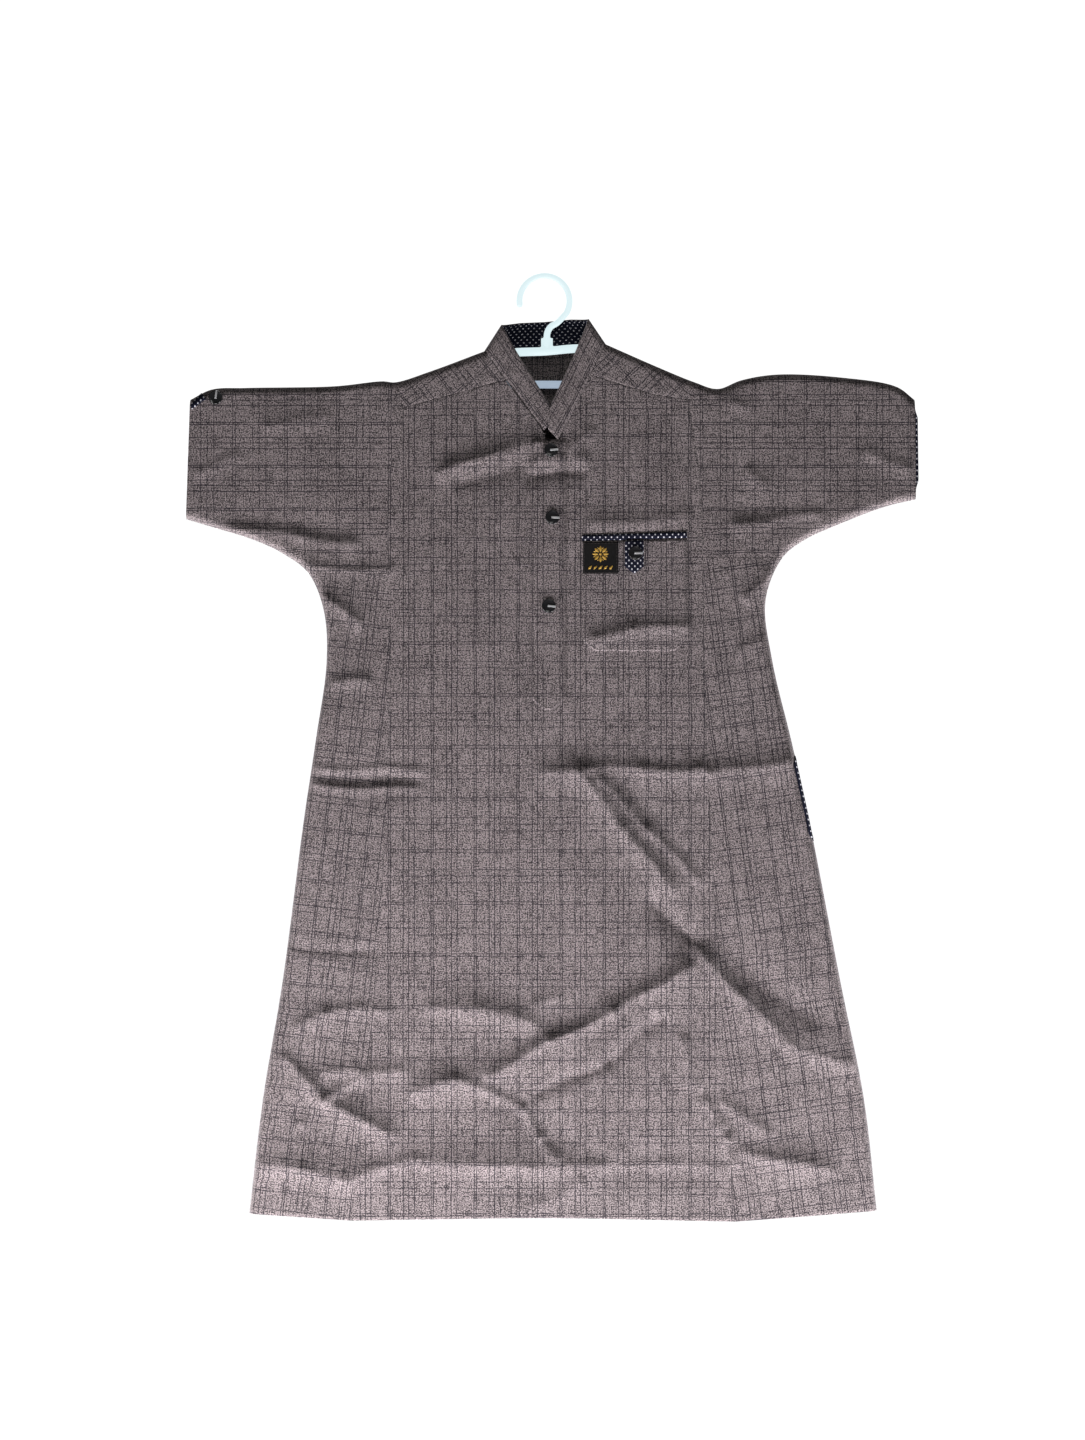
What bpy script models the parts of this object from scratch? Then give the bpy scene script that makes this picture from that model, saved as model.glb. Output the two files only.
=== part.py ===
"""Boys' short-sleeved thobe, hanging flat on its plastic hanger.

The origin is where the hook hangs, at the inner top of its loop. +X is to the wearer's left,
the front faces -Y and +Z is up. Sizes are in millimetres and become metres where a mesh is made.

Every panel is worked out in the plane of the garment, where a place is (x, drop) and drop is
how far it lies below the origin. One function then gives the cloth its depth: it is folded
along the shoulders and the top of each sleeve, sewn along the sides, and full in between.
"""
import math
from collections import namedtuple

import bmesh
import bpy
import numpy as np
from mathutils import Matrix, Vector

for old in list(bpy.data.objects):
    bpy.data.objects.remove(old, do_unlink=True)

MM = 0.001
FRONT, CREASE, BACK = -1, 0, 1
RIGHT, LEFT = -1, 1             # the wearer's sides: right is -X, left is +X

# Cloth
CLOTH = 1.2                     # wall of every sewn panel
SEAM = 0.3                      # open gap between two pieces, at seams and between layers
EDGE_ROUND = 9.0                # how far from a folded edge the cloth is still turning
SHOULDER_FULLNESS = 8.6         # half depth of the garment over the hanger
HEM_FULLNESS = 12.5             # half depth from the waist down
YOKE_DROP, WAIST_DROP = 100.0, 480.0     # the fullness grows from one to the other

# Small parts
TRIM = 1.0                      # wall of the pocket, placket, tab and dotted facings
BUTTON_DIAMETER = 12.4
BUTTON_HEIGHT = 2.2
BAR_LENGTH, BAR_WIDTH, BAR_HEIGHT = 7.6, 2.0, 0.5

# Hanger
HOOK_INNER_RADIUS = 19.3
HOOK_ROD = 4.9                  # diameters
STEM_ROD = 5.6
FRAME_ROD = 7.2
HANGER_WIDTH = 256.0
HANGER_MIDDLE = 2.5
CROWN = ((-26.7, 64.6), (0.4, 63.4), (29.3, 61.0))
BAR_DROP = 93.2
HOOK_TURN = (188, -30, -14)             # degrees: from the tip, to the stem, by steps
HOOK_NECK = ((12.0, 37.6), (4.4, 44.6), (2.2, 52.0), (2.2, 63.4))
FIN_SIZE = (3.0, 2.2, 12.0)             # the two small webs that brace the stem
FIN_OUT, FIN_DROP = 4.2, 57.5

Corner = namedtuple("Corner", "out drop")

# The folded top edge of each half: along the shoulder and the top of the sleeve
TOP_EDGE = {
    RIGHT: dict(
        neck=Corner(52.9, 63.4), shoulder=Corner(100.0, 81.0), armhole=Corner(130.8, 90.6),
        sleeve_head=Corner(142.2, 89.7), upper_arm=Corner(184.2, 94.1),
        elbow=Corner(262.0, 95.6), cuff_turn=Corner(292.0, 97.0), cuff=Corner(310.5, 106.0)),
    LEFT: dict(
        neck=Corner(53.8, 57.3), shoulder=Corner(100.0, 77.6), armhole=Corner(131.5, 90.5),
        sleeve_head=Corner(151.8, 96.5), upper_arm=Corner(172.8, 88.8),
        sleeve_rise=Corner(204.0, 83.8), elbow=Corner(262.0, 86.6),
        cuff_turn=Corner(309.0, 94.6), cuff=Corner(324.5, 106.0))}

# The closed lower edge of each half: under the sleeve and down the side to the hem
UNDER_EDGE = {
    RIGHT: dict(
        cuff=Corner(314.0, 211.0), elbow=Corner(292.7, 217.4), upper_arm=Corner(253.3, 229.7),
        bend=Corner(227.9, 241.9), underarm=Corner(206.9, 258.5), armpit=Corner(193.8, 290.9),
        chest=Corner(191.2, 334.7), waist=Corner(200.8, 404.7), hip=Corner(211.3, 474.7),
        thigh=Corner(229.7, 614.7), knee=Corner(247.2, 719.7), hem=Corner(259.0, 819.0)),
    LEFT: dict(
        cuff=Corner(325.5, 193.5), elbow=Corner(298.8, 199.9), upper_arm=Corner(253.3, 217.4),
        bend=Corner(227.1, 229.7), underarm=Corner(208.9, 244.6), armpit=Corner(194.0, 282.0),
        chest=Corner(199.9, 334.7), waist=Corner(216.6, 404.7), hip=Corner(232.3, 474.7),
        thigh=Corner(259.4, 614.7), knee=Corner(280.4, 719.7), hem=Corner(291.5, 816.5))}

# The sewn armhole, from the folded edge down to the seam under the sleeve
ARMHOLE = {
    RIGHT: dict(
        top=TOP_EDGE[RIGHT]["armhole"], yoke=Corner(123.8, 113.3), back_yoke=Corner(125.6, 140.4),
        chest=Corner(135.2, 168.4), side=Corner(136.9, 229.7), underarm=Corner(134.3, 258.5)),
    LEFT: dict(
        top=TOP_EDGE[LEFT]["armhole"], yoke=Corner(127.3, 106.3), back_yoke=Corner(130.8, 133.4),
        chest=Corner(134.3, 157.9), side=Corner(137.8, 194.7), underarm=Corner(139.1, 244.6))}

# The seam between the centre panel and each side gore
GORE_SEAM = {
    RIGHT: dict(
        underarm=ARMHOLE[RIGHT]["underarm"], waist=Corner(135.2, 388.9),
        thigh=Corner(145.7, 591.1), hem=Corner(168.4, 825.1)),
    LEFT: dict(
        underarm=ARMHOLE[LEFT]["underarm"], waist=Corner(141.3, 387.2),
        thigh=Corner(151.8, 588.4), hem=Corner(166.7, 826.0))}
HEM_MIDDLE = (4.8, 822.9)

# The neckline: the front yoke ends where it meets the collar, and the front runs on to a V
FRONT_NECK = {RIGHT: Corner(34.6, 88.8), LEFT: Corner(40.3, 84.4)}
FRONT_YOKE_BEND = Corner(96.7, 101.9)
NECK_POINT_RIGHT = (-1.2, 133.0)
NECK_POINT_LEFT = (13.0, 141.2)
BACK_NECK_MIDDLE = (0.4, 63.2)
SLIT_TOP = (4.3, 141.4)
SLIT_HALF_WIDTHS = (5.3, 1.2, 0.4)      # at the neckline and on the next rows down
SLIT_END_DROP = 360.0

# Large folds: a soft ridge, or a trough where the height is less than zero
Fold = namedtuple("Fold", "x drop x_end drop_end width height")
FOLD_RUNOUT = 0.4               # share of a fold's half length over which it dies away
FRONT_FOLDS = (
    Fold(-98, 171, -12, 141, 13, 1.2),          # pulled up to the top button
    Fold(-283, 213, -164, 227, 14, -2.2),       # along the underside of the right sleeve
    Fold(161, 202, 245, 210, 14, -2.0),         # along the underside of the left sleeve
    Fold(-204, 437, -108, 441, 14, -3.4),       # packing crease at the waist, right half
    Fold(0, 432, 152, 431, 14, 2.8),            # the same crease, left half
    Fold(150, 431, 222, 423, 14, 2.2),
    Fold(28, 428, 113, 540, 15, 3.9),           # two long diagonals over the left hip
    Fold(48, 424, 140, 532, 13, -3.6),
    Fold(92, 541, 134, 590, 15, -3.4),
    Fold(132, 590, 189, 652, 16, 4.2),          # its run out to the side seam
    Fold(189, 652, 272, 685, 16, 3.6),
    Fold(158, 594, 242, 650, 14, -3.4),
    Fold(124, 603, 20, 712, 17, 4.2),           # crossing back down to the middle
    Fold(-78, 632, 0, 655, 15, 2.8),
    Fold(-116, 706, -46, 698, 14, 3.4),
    Fold(-46, 697, 30, 664, 14, 3.4),
    Fold(-48, 703, 12, 760, 15, -3.1),
    Fold(-216, 700, -186, 719, 13, 2.8),        # a star of short creases by the right knee
    Fold(-186, 719, -134, 750, 14, 3.4),
    Fold(-212, 738, -160, 699, 13, -2.8),
    Fold(-247, 772, -150, 785, 15, 3.6),        # along the hem
    Fold(-113, 769, 30, 775, 15, 3.1),
    Fold(30, 775, 158, 782, 15, -2.8),
    Fold(183, 768, 248, 780, 15, 3.1))
BACK_FOLDS = (
    Fold(-150, 436, 90, 432, 15, 3.1),
    Fold(96, 470, 20, 600, 17, 3.6),
    Fold(-60, 480, -170, 640, 17, 3.9),
    Fold(-120, 590, -10, 720, 16, -3.4),
    Fold(60, 640, 180, 730, 17, 3.6),
    Fold(-240, 770, -90, 782, 16, 3.4),
    Fold(20, 770, 230, 784, 16, 3.1),
    Fold(-270, 214, -170, 228, 14, -2.0),
    Fold(170, 205, 260, 212, 14, -2.0))

# Shares of a strip's width or length at which its rows stand, closest at a folded edge
TURNING = (0.06, 0.22, 0.5, 1.0)
SLEEVE_DOWN = (0.0, 0.012, 0.045, 0.1, 0.2, 0.33, 0.46, 0.6, 0.74, 0.87, 0.965, 1.0)
GORE_ACROSS = (0.0, 0.02, 0.06, 0.14, 0.36, 0.68, 1.0)


# Plane geometry

def place(side, corner):
    """A corner of one half as a plane point (x, drop)."""
    return (side * corner.out, corner.drop)


def even(count):
    """Equal steps along one stretch, without its start."""
    return [step / count for step in range(1, count + 1)]


def chain(corners, steps):
    """Points along straight stretches between corners, at the given shares of each."""
    points = [np.array(corners[0], float)]
    for start, end, shares in zip(corners, corners[1:], steps):
        start, end = np.array(start, float), np.array(end, float)
        points.extend(start + (end - start) * share for share in shares)
    return np.array(points)


def smooth(corners, steps=8):
    """A curve through every corner, with no kink at any of them."""
    points = np.array(corners, float)
    first = 2 * points[0] - points[1]
    last = 2 * points[-1] - points[-2]
    padded = np.vstack([first, points, last])
    curve = [points[0]]
    for i in range(1, len(padded) - 2):
        p0, p1, p2, p3 = padded[i - 1:i + 3]
        k0, k1, k2 = (math.sqrt(np.linalg.norm(b - a)) for a, b in ((p0, p1), (p1, p2), (p2, p3)))
        m1 = (p1 - p0) / k0 - (p2 - p0) / (k0 + k1) + (p2 - p1) / k1
        m2 = (p2 - p1) / k1 - (p3 - p1) / (k1 + k2) + (p3 - p2) / k2
        for step in range(1, steps + 1):
            t = step / steps
            bend = (2 * t**3 - 3 * t**2 + 1) * p1 + (3 * t**2 - 2 * t**3) * p2
            bend = bend + k1 * ((t**3 - 2 * t**2 + t) * m1 + (t**3 - t**2) * m2)
            curve.append(bend)
    return np.array(curve)


def shares_of(curve):
    """How far along its own length each point of a curve lies, from 0 to 1."""
    lengths = np.linalg.norm(np.diff(curve, axis=0), axis=1)
    along = np.concatenate([[0.0], np.cumsum(lengths)])
    return along / along[-1]


def pick(curve, shares):
    """Points of a curve at shares of its length."""
    own = shares_of(curve)
    return np.column_stack([np.interp(shares, own, curve[:, k]) for k in (0, 1)])


def stretch(curve, start, end):
    """The part of a curve between two of its own corners."""
    def nearest(point):
        return int(np.argmin(np.linalg.norm(curve - np.array(point), axis=1)))
    return curve[nearest(start):nearest(end) + 1]


def across(points, start, end):
    """Each point's share of the way from start to end, by x."""
    return (points[:, 0] - start[0]) / (end[0] - start[0])


def fill(top, bottom, left, right):
    """Rows of points inside four edges that meet at their ends."""
    u = (shares_of(top) + shares_of(bottom)) / 2
    v = (shares_of(left) + shares_of(right)) / 2
    u = u[None, :, None]
    v = v[:, None, None]
    ruled = (1 - v) * top[None] + v * bottom[None] + (1 - u) * left[:, None] + u * right[:, None]
    corners = (1 - u) * (1 - v) * top[0] + u * (1 - v) * top[-1]
    return ruled - corners - (1 - u) * v * bottom[0] - u * v * bottom[-1]


# The depth of the cloth

top_curve = {side: smooth([place(side, c) for c in TOP_EDGE[side].values()])
             for side in (RIGHT, LEFT)}
under_curve = {side: smooth([place(side, c) for c in UNDER_EDGE[side].values()])
               for side in (RIGHT, LEFT)}


def folded_edges():
    """Every stretch of folded or sewn edge: its start, its direction, its length, its inside."""
    past_end = 20.0
    rows = []
    for side in (RIGHT, LEFT):
        top, under = top_curve[side], under_curve[side]
        longer_top = np.vstack([top, top[-1] + (top[-1] - top[-2]) * past_end])
        before_cuff = under[0] + (under[0] - under[1]) * past_end
        past_hem = under[-1] + (under[-1] - under[-2]) * past_end
        for line in (longer_top, np.vstack([before_cuff, under, past_hem])):
            step = np.diff(line, axis=0)
            length = np.linalg.norm(step, axis=1)
            direction = step / length[:, None]
            inside = side * np.column_stack([-direction[:, 1], direction[:, 0]])
            rows.append(np.column_stack([line[:-1], direction, length, inside]))
    return np.vstack(rows)


EDGES = folded_edges()


def edge_distance(plane):
    """Distance of plane points from the nearest folded edge, and the way leading inside."""
    start, direction, length, inside = EDGES[:, 0:2], EDGES[:, 2:4], EDGES[:, 4], EDGES[:, 5:7]
    offset = plane[:, None, :] - start[None]
    along = np.clip((offset * direction).sum(axis=2), 0.0, length)
    away = offset - along[..., None] * direction
    distance = np.linalg.norm(away, axis=2)
    nearest = np.argmin(distance, axis=1)
    pick_row = np.arange(len(plane))
    nearest_distance = distance[pick_row, nearest]
    on_edge = nearest_distance < 0.05
    toward = away[pick_row, nearest] / np.maximum(nearest_distance, 1e-9)[:, None]
    toward[on_edge] = inside[nearest[on_edge]]
    return np.where(on_edge, 0.0, nearest_distance), toward


def lift(plane, folds):
    """Half depth of the cloth away from its edges, with the folds."""
    drop = plane[:, 1]
    down = np.clip((drop - YOKE_DROP) / (WAIST_DROP - YOKE_DROP), 0.0, 1.0)
    depth = SHOULDER_FULLNESS + (HEM_FULLNESS - SHOULDER_FULLNESS) * down**2 * (3 - 2 * down)
    for fold in folds:
        start = np.array([fold.x, fold.drop], float)
        run = np.array([fold.x_end, fold.drop_end]) - start
        length = np.linalg.norm(run)
        run = run / length
        along = ((plane - start) @ run) / length
        beside = (plane - start) @ np.array([-run[1], run[0]])
        fade = np.clip((1 - np.abs(2 * along - 1)) / (2 * FOLD_RUNOUT), 0.0, 1.0)
        depth = depth + fold.height * fade**2 * (3 - 2 * fade) * np.exp(-(beside / fold.width)**2)
    return depth


def surface(spots):
    """Outer points and outward normals of the cloth at spots (x, drop, side)."""
    spots = np.asarray(spots, float)
    plane, side = spots[:, :2], spots[:, 2]
    distance, inward = edge_distance(plane)
    turn = np.clip(1 - distance / EDGE_ROUND, 0.0, 1.0)
    rise = np.sqrt(1 - turn**2)
    depth = np.zeros(len(spots))
    slope = np.zeros((len(spots), 2))
    for facing, folds in ((FRONT, FRONT_FOLDS), (BACK, BACK_FOLDS)):
        here = side == facing
        if not here.any():
            continue
        depth[here] = lift(plane[here], folds)
        for axis, step in enumerate(((0.5, 0.0), (0.0, 0.5))):
            change = lift(plane[here] + step, folds) - lift(plane[here] - step, folds)
            slope[here, axis] = change
    y = side * (SEAM / 2 + depth * rise)
    y[side == CREASE] = 0.0
    tilt = -depth[:, None] * turn[:, None] * inward - EDGE_ROUND * (rise**2)[:, None] * slope
    tilt[side == CREASE] = -inward[side == CREASE]
    outward = side * EDGE_ROUND * rise
    on_edge = (distance == 0) & (side != CREASE)
    tilt[on_edge] = -inward[on_edge]
    normal = np.column_stack([tilt[:, 0], outward, -tilt[:, 1]])
    normal /= np.linalg.norm(normal, axis=1)[:, None]
    return np.column_stack([plane[:, 0], y, -plane[:, 1]]), normal


# Meshes

def material(name, colour, roughness, metallic=0.0):
    made = bpy.data.materials.new(name)
    made.use_nodes = True
    principled = made.node_tree.nodes["Principled BSDF"]
    principled.inputs["Base Color"].default_value = (*colour, 1.0)
    principled.inputs["Roughness"].default_value = roughness
    principled.inputs["Metallic"].default_value = metallic
    return made


def add_object(name, body, finish):
    """Put a closed bmesh, built in millimetres, into the scene as one object."""
    bmesh.ops.recalc_face_normals(body, faces=body.faces)
    bmesh.ops.scale(body, vec=(MM, MM, MM), verts=body.verts)
    mesh = bpy.data.meshes.new(name)
    body.to_mesh(mesh)
    body.free()
    mesh.materials.append(finish)
    thing = bpy.data.objects.new(name, mesh)
    bpy.context.collection.objects.link(thing)
    return thing


def wall(name, points, normals, cells, near, far, finish):
    """A wall of cloth between two offsets from a surface, closed round every open edge."""
    body = bmesh.new()
    outer = [body.verts.new(p) for p in points + normals * far]
    inner = [body.verts.new(p) for p in points + normals * near]
    open_edges = {}
    for cell in cells:
        body.faces.new([outer[i] for i in cell])
        body.faces.new([inner[i] for i in reversed(cell)])
        for a, b in zip(cell, cell[1:] + cell[:1]):
            if (b, a) in open_edges:
                del open_edges[(b, a)]
            else:
                open_edges[(a, b)] = True
    for a, b in open_edges:
        body.faces.new([outer[b], outer[a], inner[a], inner[b]])
    used = {i for cell in cells for i in cell}
    for i in range(len(points)):
        if i not in used:
            body.verts.remove(outer[i])
            body.verts.remove(inner[i])
    add_object(name, body, finish)


def cells_of(rows, columns, kept=None):
    """The four-cornered cells of a grid, or only those that kept(row, column) allows."""
    return [[r * columns + c, r * columns + c + 1, (r + 1) * columns + c + 1, (r + 1) * columns + c]
            for r in range(rows - 1) for c in range(columns - 1) if kept is None or kept(r, c)]


def on_side(grid, side):
    """A grid of plane points as spots on the front, the back or a crease."""
    return np.concatenate([grid, np.full(grid.shape[:-1] + (1,), float(side))], axis=-1)


def cloth(name, spots, near, far, finish, kept=None):
    """A wall of cloth over a grid of spots."""
    rows, columns = spots.shape[:2]
    points, normals = surface(spots.reshape(-1, 3))
    return wall(name, points, normals, cells_of(rows, columns, kept), near, far, finish)


taupe = material("taupe_cloth", (0.13, 0.095, 0.085), 0.92)
dotted = material("dotted_cloth", (0.012, 0.014, 0.03), 0.85)
black = material("black_button", (0.012, 0.012, 0.014), 0.2)
silver = material("silver_bar", (0.8, 0.8, 0.8), 0.3, 0.9)
badge_black = material("badge_cloth", (0.02, 0.018, 0.015), 0.8)
white = material("white_plastic", (0.82, 0.85, 0.88), 0.3)


# Centre panels, front and back

def down_the_side(side, first, counts):
    """The edge of a centre panel: down the armhole from its yoke, then down the gore seam."""
    hole, gore = ARMHOLE[side], GORE_SEAM[side]
    names = list(hole)[list(hole).index(first):]
    corners = [place(side, hole[name]) for name in names]
    corners += [place(side, gore[name]) for name in ("waist", "thigh", "hem")]
    edge = chain(corners, [even(count) for count in counts])
    edge[:, 0] -= side * SEAM / 2
    return edge


def front_panel():
    counts = (2, 2, 3, 2, 6, 10, 12)
    left, right = (down_the_side(side, "yoke", counts) for side in (RIGHT, LEFT))
    necks = [place(RIGHT, FRONT_NECK[RIGHT]), NECK_POINT_RIGHT, SLIT_TOP, NECK_POINT_LEFT,
             place(LEFT, FRONT_NECK[LEFT]), place(LEFT, FRONT_YOKE_BEND)]
    steps = [even(6), even(4), [1.0], [1.0], even(3), even(3), even(2)]
    top = chain([left[0]] + necks + [right[0]], steps)
    yoke_seam = (top[:, 0] < necks[0][0] - 1) | (top[:, 0] > necks[4][0] + 1)
    top[yoke_seam, 1] += SEAM / 2
    shares = across(top, top[0], top[-1])
    hem = chain([left[-1], HEM_MIDDLE, right[-1]], [even(8), even(8)])
    hem_x = left[-1][0] + shares * (right[-1][0] - left[-1][0])
    bottom = np.column_stack([hem_x, np.interp(hem_x, hem[:, 0], hem[:, 1])])
    left[0], right[0] = top[0], top[-1]
    grid = fill(top, bottom, left, right)

    slit = int(np.argmin(np.abs(top[:, 0] - SLIT_TOP[0])))
    rows, columns = grid.shape[:2]
    slit_rows = int(np.sum(grid[:, slit, 1] < SLIT_END_DROP))
    widths = list(SLIT_HALF_WIDTHS) + [SLIT_HALF_WIDTHS[-1]] * (slit_rows - len(SLIT_HALF_WIDTHS))
    twins = grid[:slit_rows, slit].copy()
    twins[:, 0] += widths
    grid[:slit_rows, slit, 0] -= widths
    spots = np.vstack([on_side(grid, FRONT).reshape(-1, 3), on_side(twins, FRONT)])
    cells = cells_of(rows, columns)
    first_twin = rows * columns
    for cell in cells:
        row, column = divmod(cell[0], columns)
        if column != slit or row >= slit_rows:
            continue
        cell[0] = first_twin + row
        if row + 1 < slit_rows:
            cell[3] = first_twin + row + 1
    points, normals = surface(spots)
    wall("front_panel", points, normals, cells, -CLOTH, 0, taupe)


def back_panel():
    counts = (1, 2, 1, 4, 7, 8)
    left, right = (down_the_side(side, "back_yoke", counts) for side in (RIGHT, LEFT))
    left[0, 1] += SEAM / 2
    right[0, 1] += SEAM / 2
    top = chain([left[0], right[0]], [even(14)])
    bottom = chain([left[-1], HEM_MIDDLE, right[-1]], [even(7), even(7)])
    grid = fill(top, bottom, left, right)
    cloth("back_panel", on_side(grid, BACK), -CLOTH, 0, taupe)


front_panel()
back_panel()


# Yoke: one piece over both shoulders and round the neck

def yoke():
    ridge = {side: stretch(top_curve[side], place(side, TOP_EDGE[side]["neck"]),
                           place(side, TOP_EDGE[side]["armhole"])) for side in (RIGHT, LEFT)}
    shoulder_steps, neck_steps = 7, 4
    out = [0.0] + [0.04, 0.13] + [0.13 + 0.87 * share for share in even(shoulder_steps - 2)]
    seams = {side: pick(ridge[side], out) for side in (RIGHT, LEFT)}
    for side in (RIGHT, LEFT):
        seams[side][-1, 0] -= side * SEAM / 2
    to_middle = [0.03, 0.1, 0.2] + [0.2 + 0.8 * share for share in even(neck_steps - 1)]
    necks = {side: chain([seams[side][0], BACK_NECK_MIDDLE], [to_middle]) for side in (RIGHT, LEFT)}
    top = np.vstack([seams[RIGHT][::-1], necks[RIGHT][1:], necks[LEFT][::-1][1:], seams[LEFT][1:]])
    neck_columns = (shoulder_steps, len(top) - 1 - shoulder_steps)

    down = {side: chain([seams[side][-1], place(side, ARMHOLE[side]["yoke"]),
                         place(side, ARMHOLE[side]["back_yoke"])], [TURNING, even(2)])
            for side in (RIGHT, LEFT)}
    for side in (RIGHT, LEFT):
        down[side][1:, 0] -= side * SEAM / 2
        down[side][-1, 1] -= SEAM / 2
    shares = across(top, top[0], top[-1])[:, None]
    bottom = down[RIGHT][-1] + shares * (down[LEFT][-1] - down[RIGHT][-1])
    back = on_side(fill(top, bottom, down[RIGHT], down[LEFT]), BACK)

    front = np.tile(np.append(top[0], FRONT), (len(TURNING), len(top), 1))
    for side, first, last in ((RIGHT, 0, neck_columns[0]), (LEFT, neck_columns[1], len(top) - 1)):
        edge = top[first:last + 1]
        hole = chain([down[side][0], down[side][len(TURNING)]], [TURNING])
        hole[-1, 1] -= SEAM / 2
        neck_end = place(side, FRONT_NECK[side])
        neck = chain([seams[side][0], (neck_end[0], neck_end[1] - SEAM / 2)], [TURNING])
        shoulder = hole if side == RIGHT else neck
        inner = neck if side == RIGHT else hole
        ends = [hole[-1], neck[-1]]
        if side == LEFT:
            bend = place(side, FRONT_YOKE_BEND)
            ends = [neck[-1], (bend[0], bend[1] - SEAM / 2), hole[-1]]
        seam = chain(ends, [even(8)] * (len(ends) - 1))
        seam_x = ends[0][0] + across(edge, edge[0], edge[-1]) * (ends[-1][0] - ends[0][0])
        lower = np.column_stack([seam_x, np.interp(seam_x, seam[:, 0], seam[:, 1])])
        front[:, first:last + 1] = on_side(fill(edge, lower, shoulder, inner), FRONT)[1:]

    spots = np.vstack([front[::-1], back])
    ridge_row = len(TURNING)
    on_ridge = [c for c in range(len(top)) if c <= neck_columns[0] or c >= neck_columns[1]]
    spots[ridge_row, on_ridge, 2] = CREASE

    def kept(row, column):
        return row >= ridge_row or column < neck_columns[0] or column >= neck_columns[1]
    cloth("yoke", spots, -CLOTH, 0, taupe, kept)


yoke()


# Sleeves: each one piece, folded along its top and sewn under the arm

def sleeve_grid(side):
    """Plane points of half a sleeve: rows from the fold down, columns from armhole to cuff."""
    hole = [place(side, c) for c in ARMHOLE[side].values()]
    armhole = chain(hole, [TURNING, even(2), [1.0], even(2), even(2)])
    armhole[:, 0] += side * SEAM / 2
    armhole[-1, 1] -= SEAM / 2
    under = stretch(under_curve[side], place(side, UNDER_EDGE[side]["cuff"]),
                    place(side, UNDER_EDGE[side]["underarm"]))[::-1]
    gore_top = chain([armhole[-1], under[0] - (0, SEAM / 2)],
                     [[1 - share for share in GORE_ACROSS[-2::-1]]])
    bottom = np.vstack([gore_top, pick(under, [0.0] + even(6))[1:]])
    fold = stretch(top_curve[side], place(side, TOP_EDGE[side]["armhole"]),
                   place(side, TOP_EDGE[side]["cuff"]))
    cuff = chain([fold[-1], bottom[-1]], [SLEEVE_DOWN[1:]])
    shares = across(bottom, bottom[0], bottom[-1])
    top = pick(fold, shares)
    top[0] = armhole[0]
    return fill(top, bottom, armhole, cuff)


def sleeve(side, name):
    grid = sleeve_grid(side)
    spots = np.vstack([on_side(grid, FRONT)[::-1], on_side(grid, BACK)[1:]])
    spots[len(grid) - 1, :, 2] = CREASE
    cloth(name, spots, -CLOTH, 0, taupe)


sleeve(RIGHT, "sleeve_right")
sleeve(LEFT, "sleeve_left")


# Side gores: four panels that give the skirt its width

def gore_grid(side):
    """Plane points of a gore: columns from the side seam inward, rows down to the hem."""
    gore = [place(side, c) for c in GORE_SEAM[side].values()]
    inner = chain(gore, [even(6), even(9), even(11)])
    inner[:, 0] += side * SEAM / 2
    inner[0, 1] += SEAM / 2
    edge = stretch(under_curve[side], place(side, UNDER_EDGE[side]["underarm"]),
                   place(side, UNDER_EDGE[side]["hem"]))
    outer = pick(edge, shares_of(inner))
    outer[0, 1] += SEAM / 2
    top = chain([outer[0], inner[0]], [GORE_ACROSS[1:]])
    bottom = chain([outer[-1], inner[-1]], [GORE_ACROSS[1:]])
    return fill(top, bottom, outer, inner)


for half, half_name in ((RIGHT, "right"), (LEFT, "left")):
    for facing, facing_name in ((FRONT, "front"), (BACK, "back")):
        spots = on_side(gore_grid(half), facing)
        cloth(f"gore_{facing_name}_{half_name}", spots, -CLOTH, 0, taupe)


# Collar: a stand band from the wearer's right end, round the neck, to the left end on top

Station = namedtuple("Station", "seam_x seam_drop top_x top_drop side raised")
OVERLAP = TRIM + SEAM + 0.1
COLLAR = (
    Station(-0.6, 133.6, 11.4, 121.8, FRONT, 0.0),
    Station(-17.4, 111.3, -3.6, 97.6, FRONT, 0.0),
    Station(-34.5, 88.6, -24.6, 64.0, FRONT, 0.0),
    Station(-52.9, 63.4, -37.5, 43.6, CREASE, 0.0),
    Station(-26.0, 63.3, -21.4, 38.9, BACK, 0.0),
    Station(0.4, 63.2, 0.4, 38.3, BACK, 0.0),
    Station(27.0, 60.3, 23.2, 35.6, BACK, 0.0),
    Station(53.8, 57.3, 38.7, 38.7, CREASE, 0.0),
    Station(40.3, 84.4, 27.8, 62.5, FRONT, 0.0),
    Station(26.8, 112.5, 14.8, 91.0, FRONT, OVERLAP),
    Station(19.0, 128.8, 5.5, 111.1, FRONT, OVERLAP),
    Station(11.8, 141.6, 3.1, 132.4, FRONT, OVERLAP))
COLLAR_UP = (0.0, 0.33, 0.67, 1.0)      # rows from the neck seam to the free edge
NEAR_FOLD = (0.04, 0.12, 0.27, 0.6, 1.0)


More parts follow.
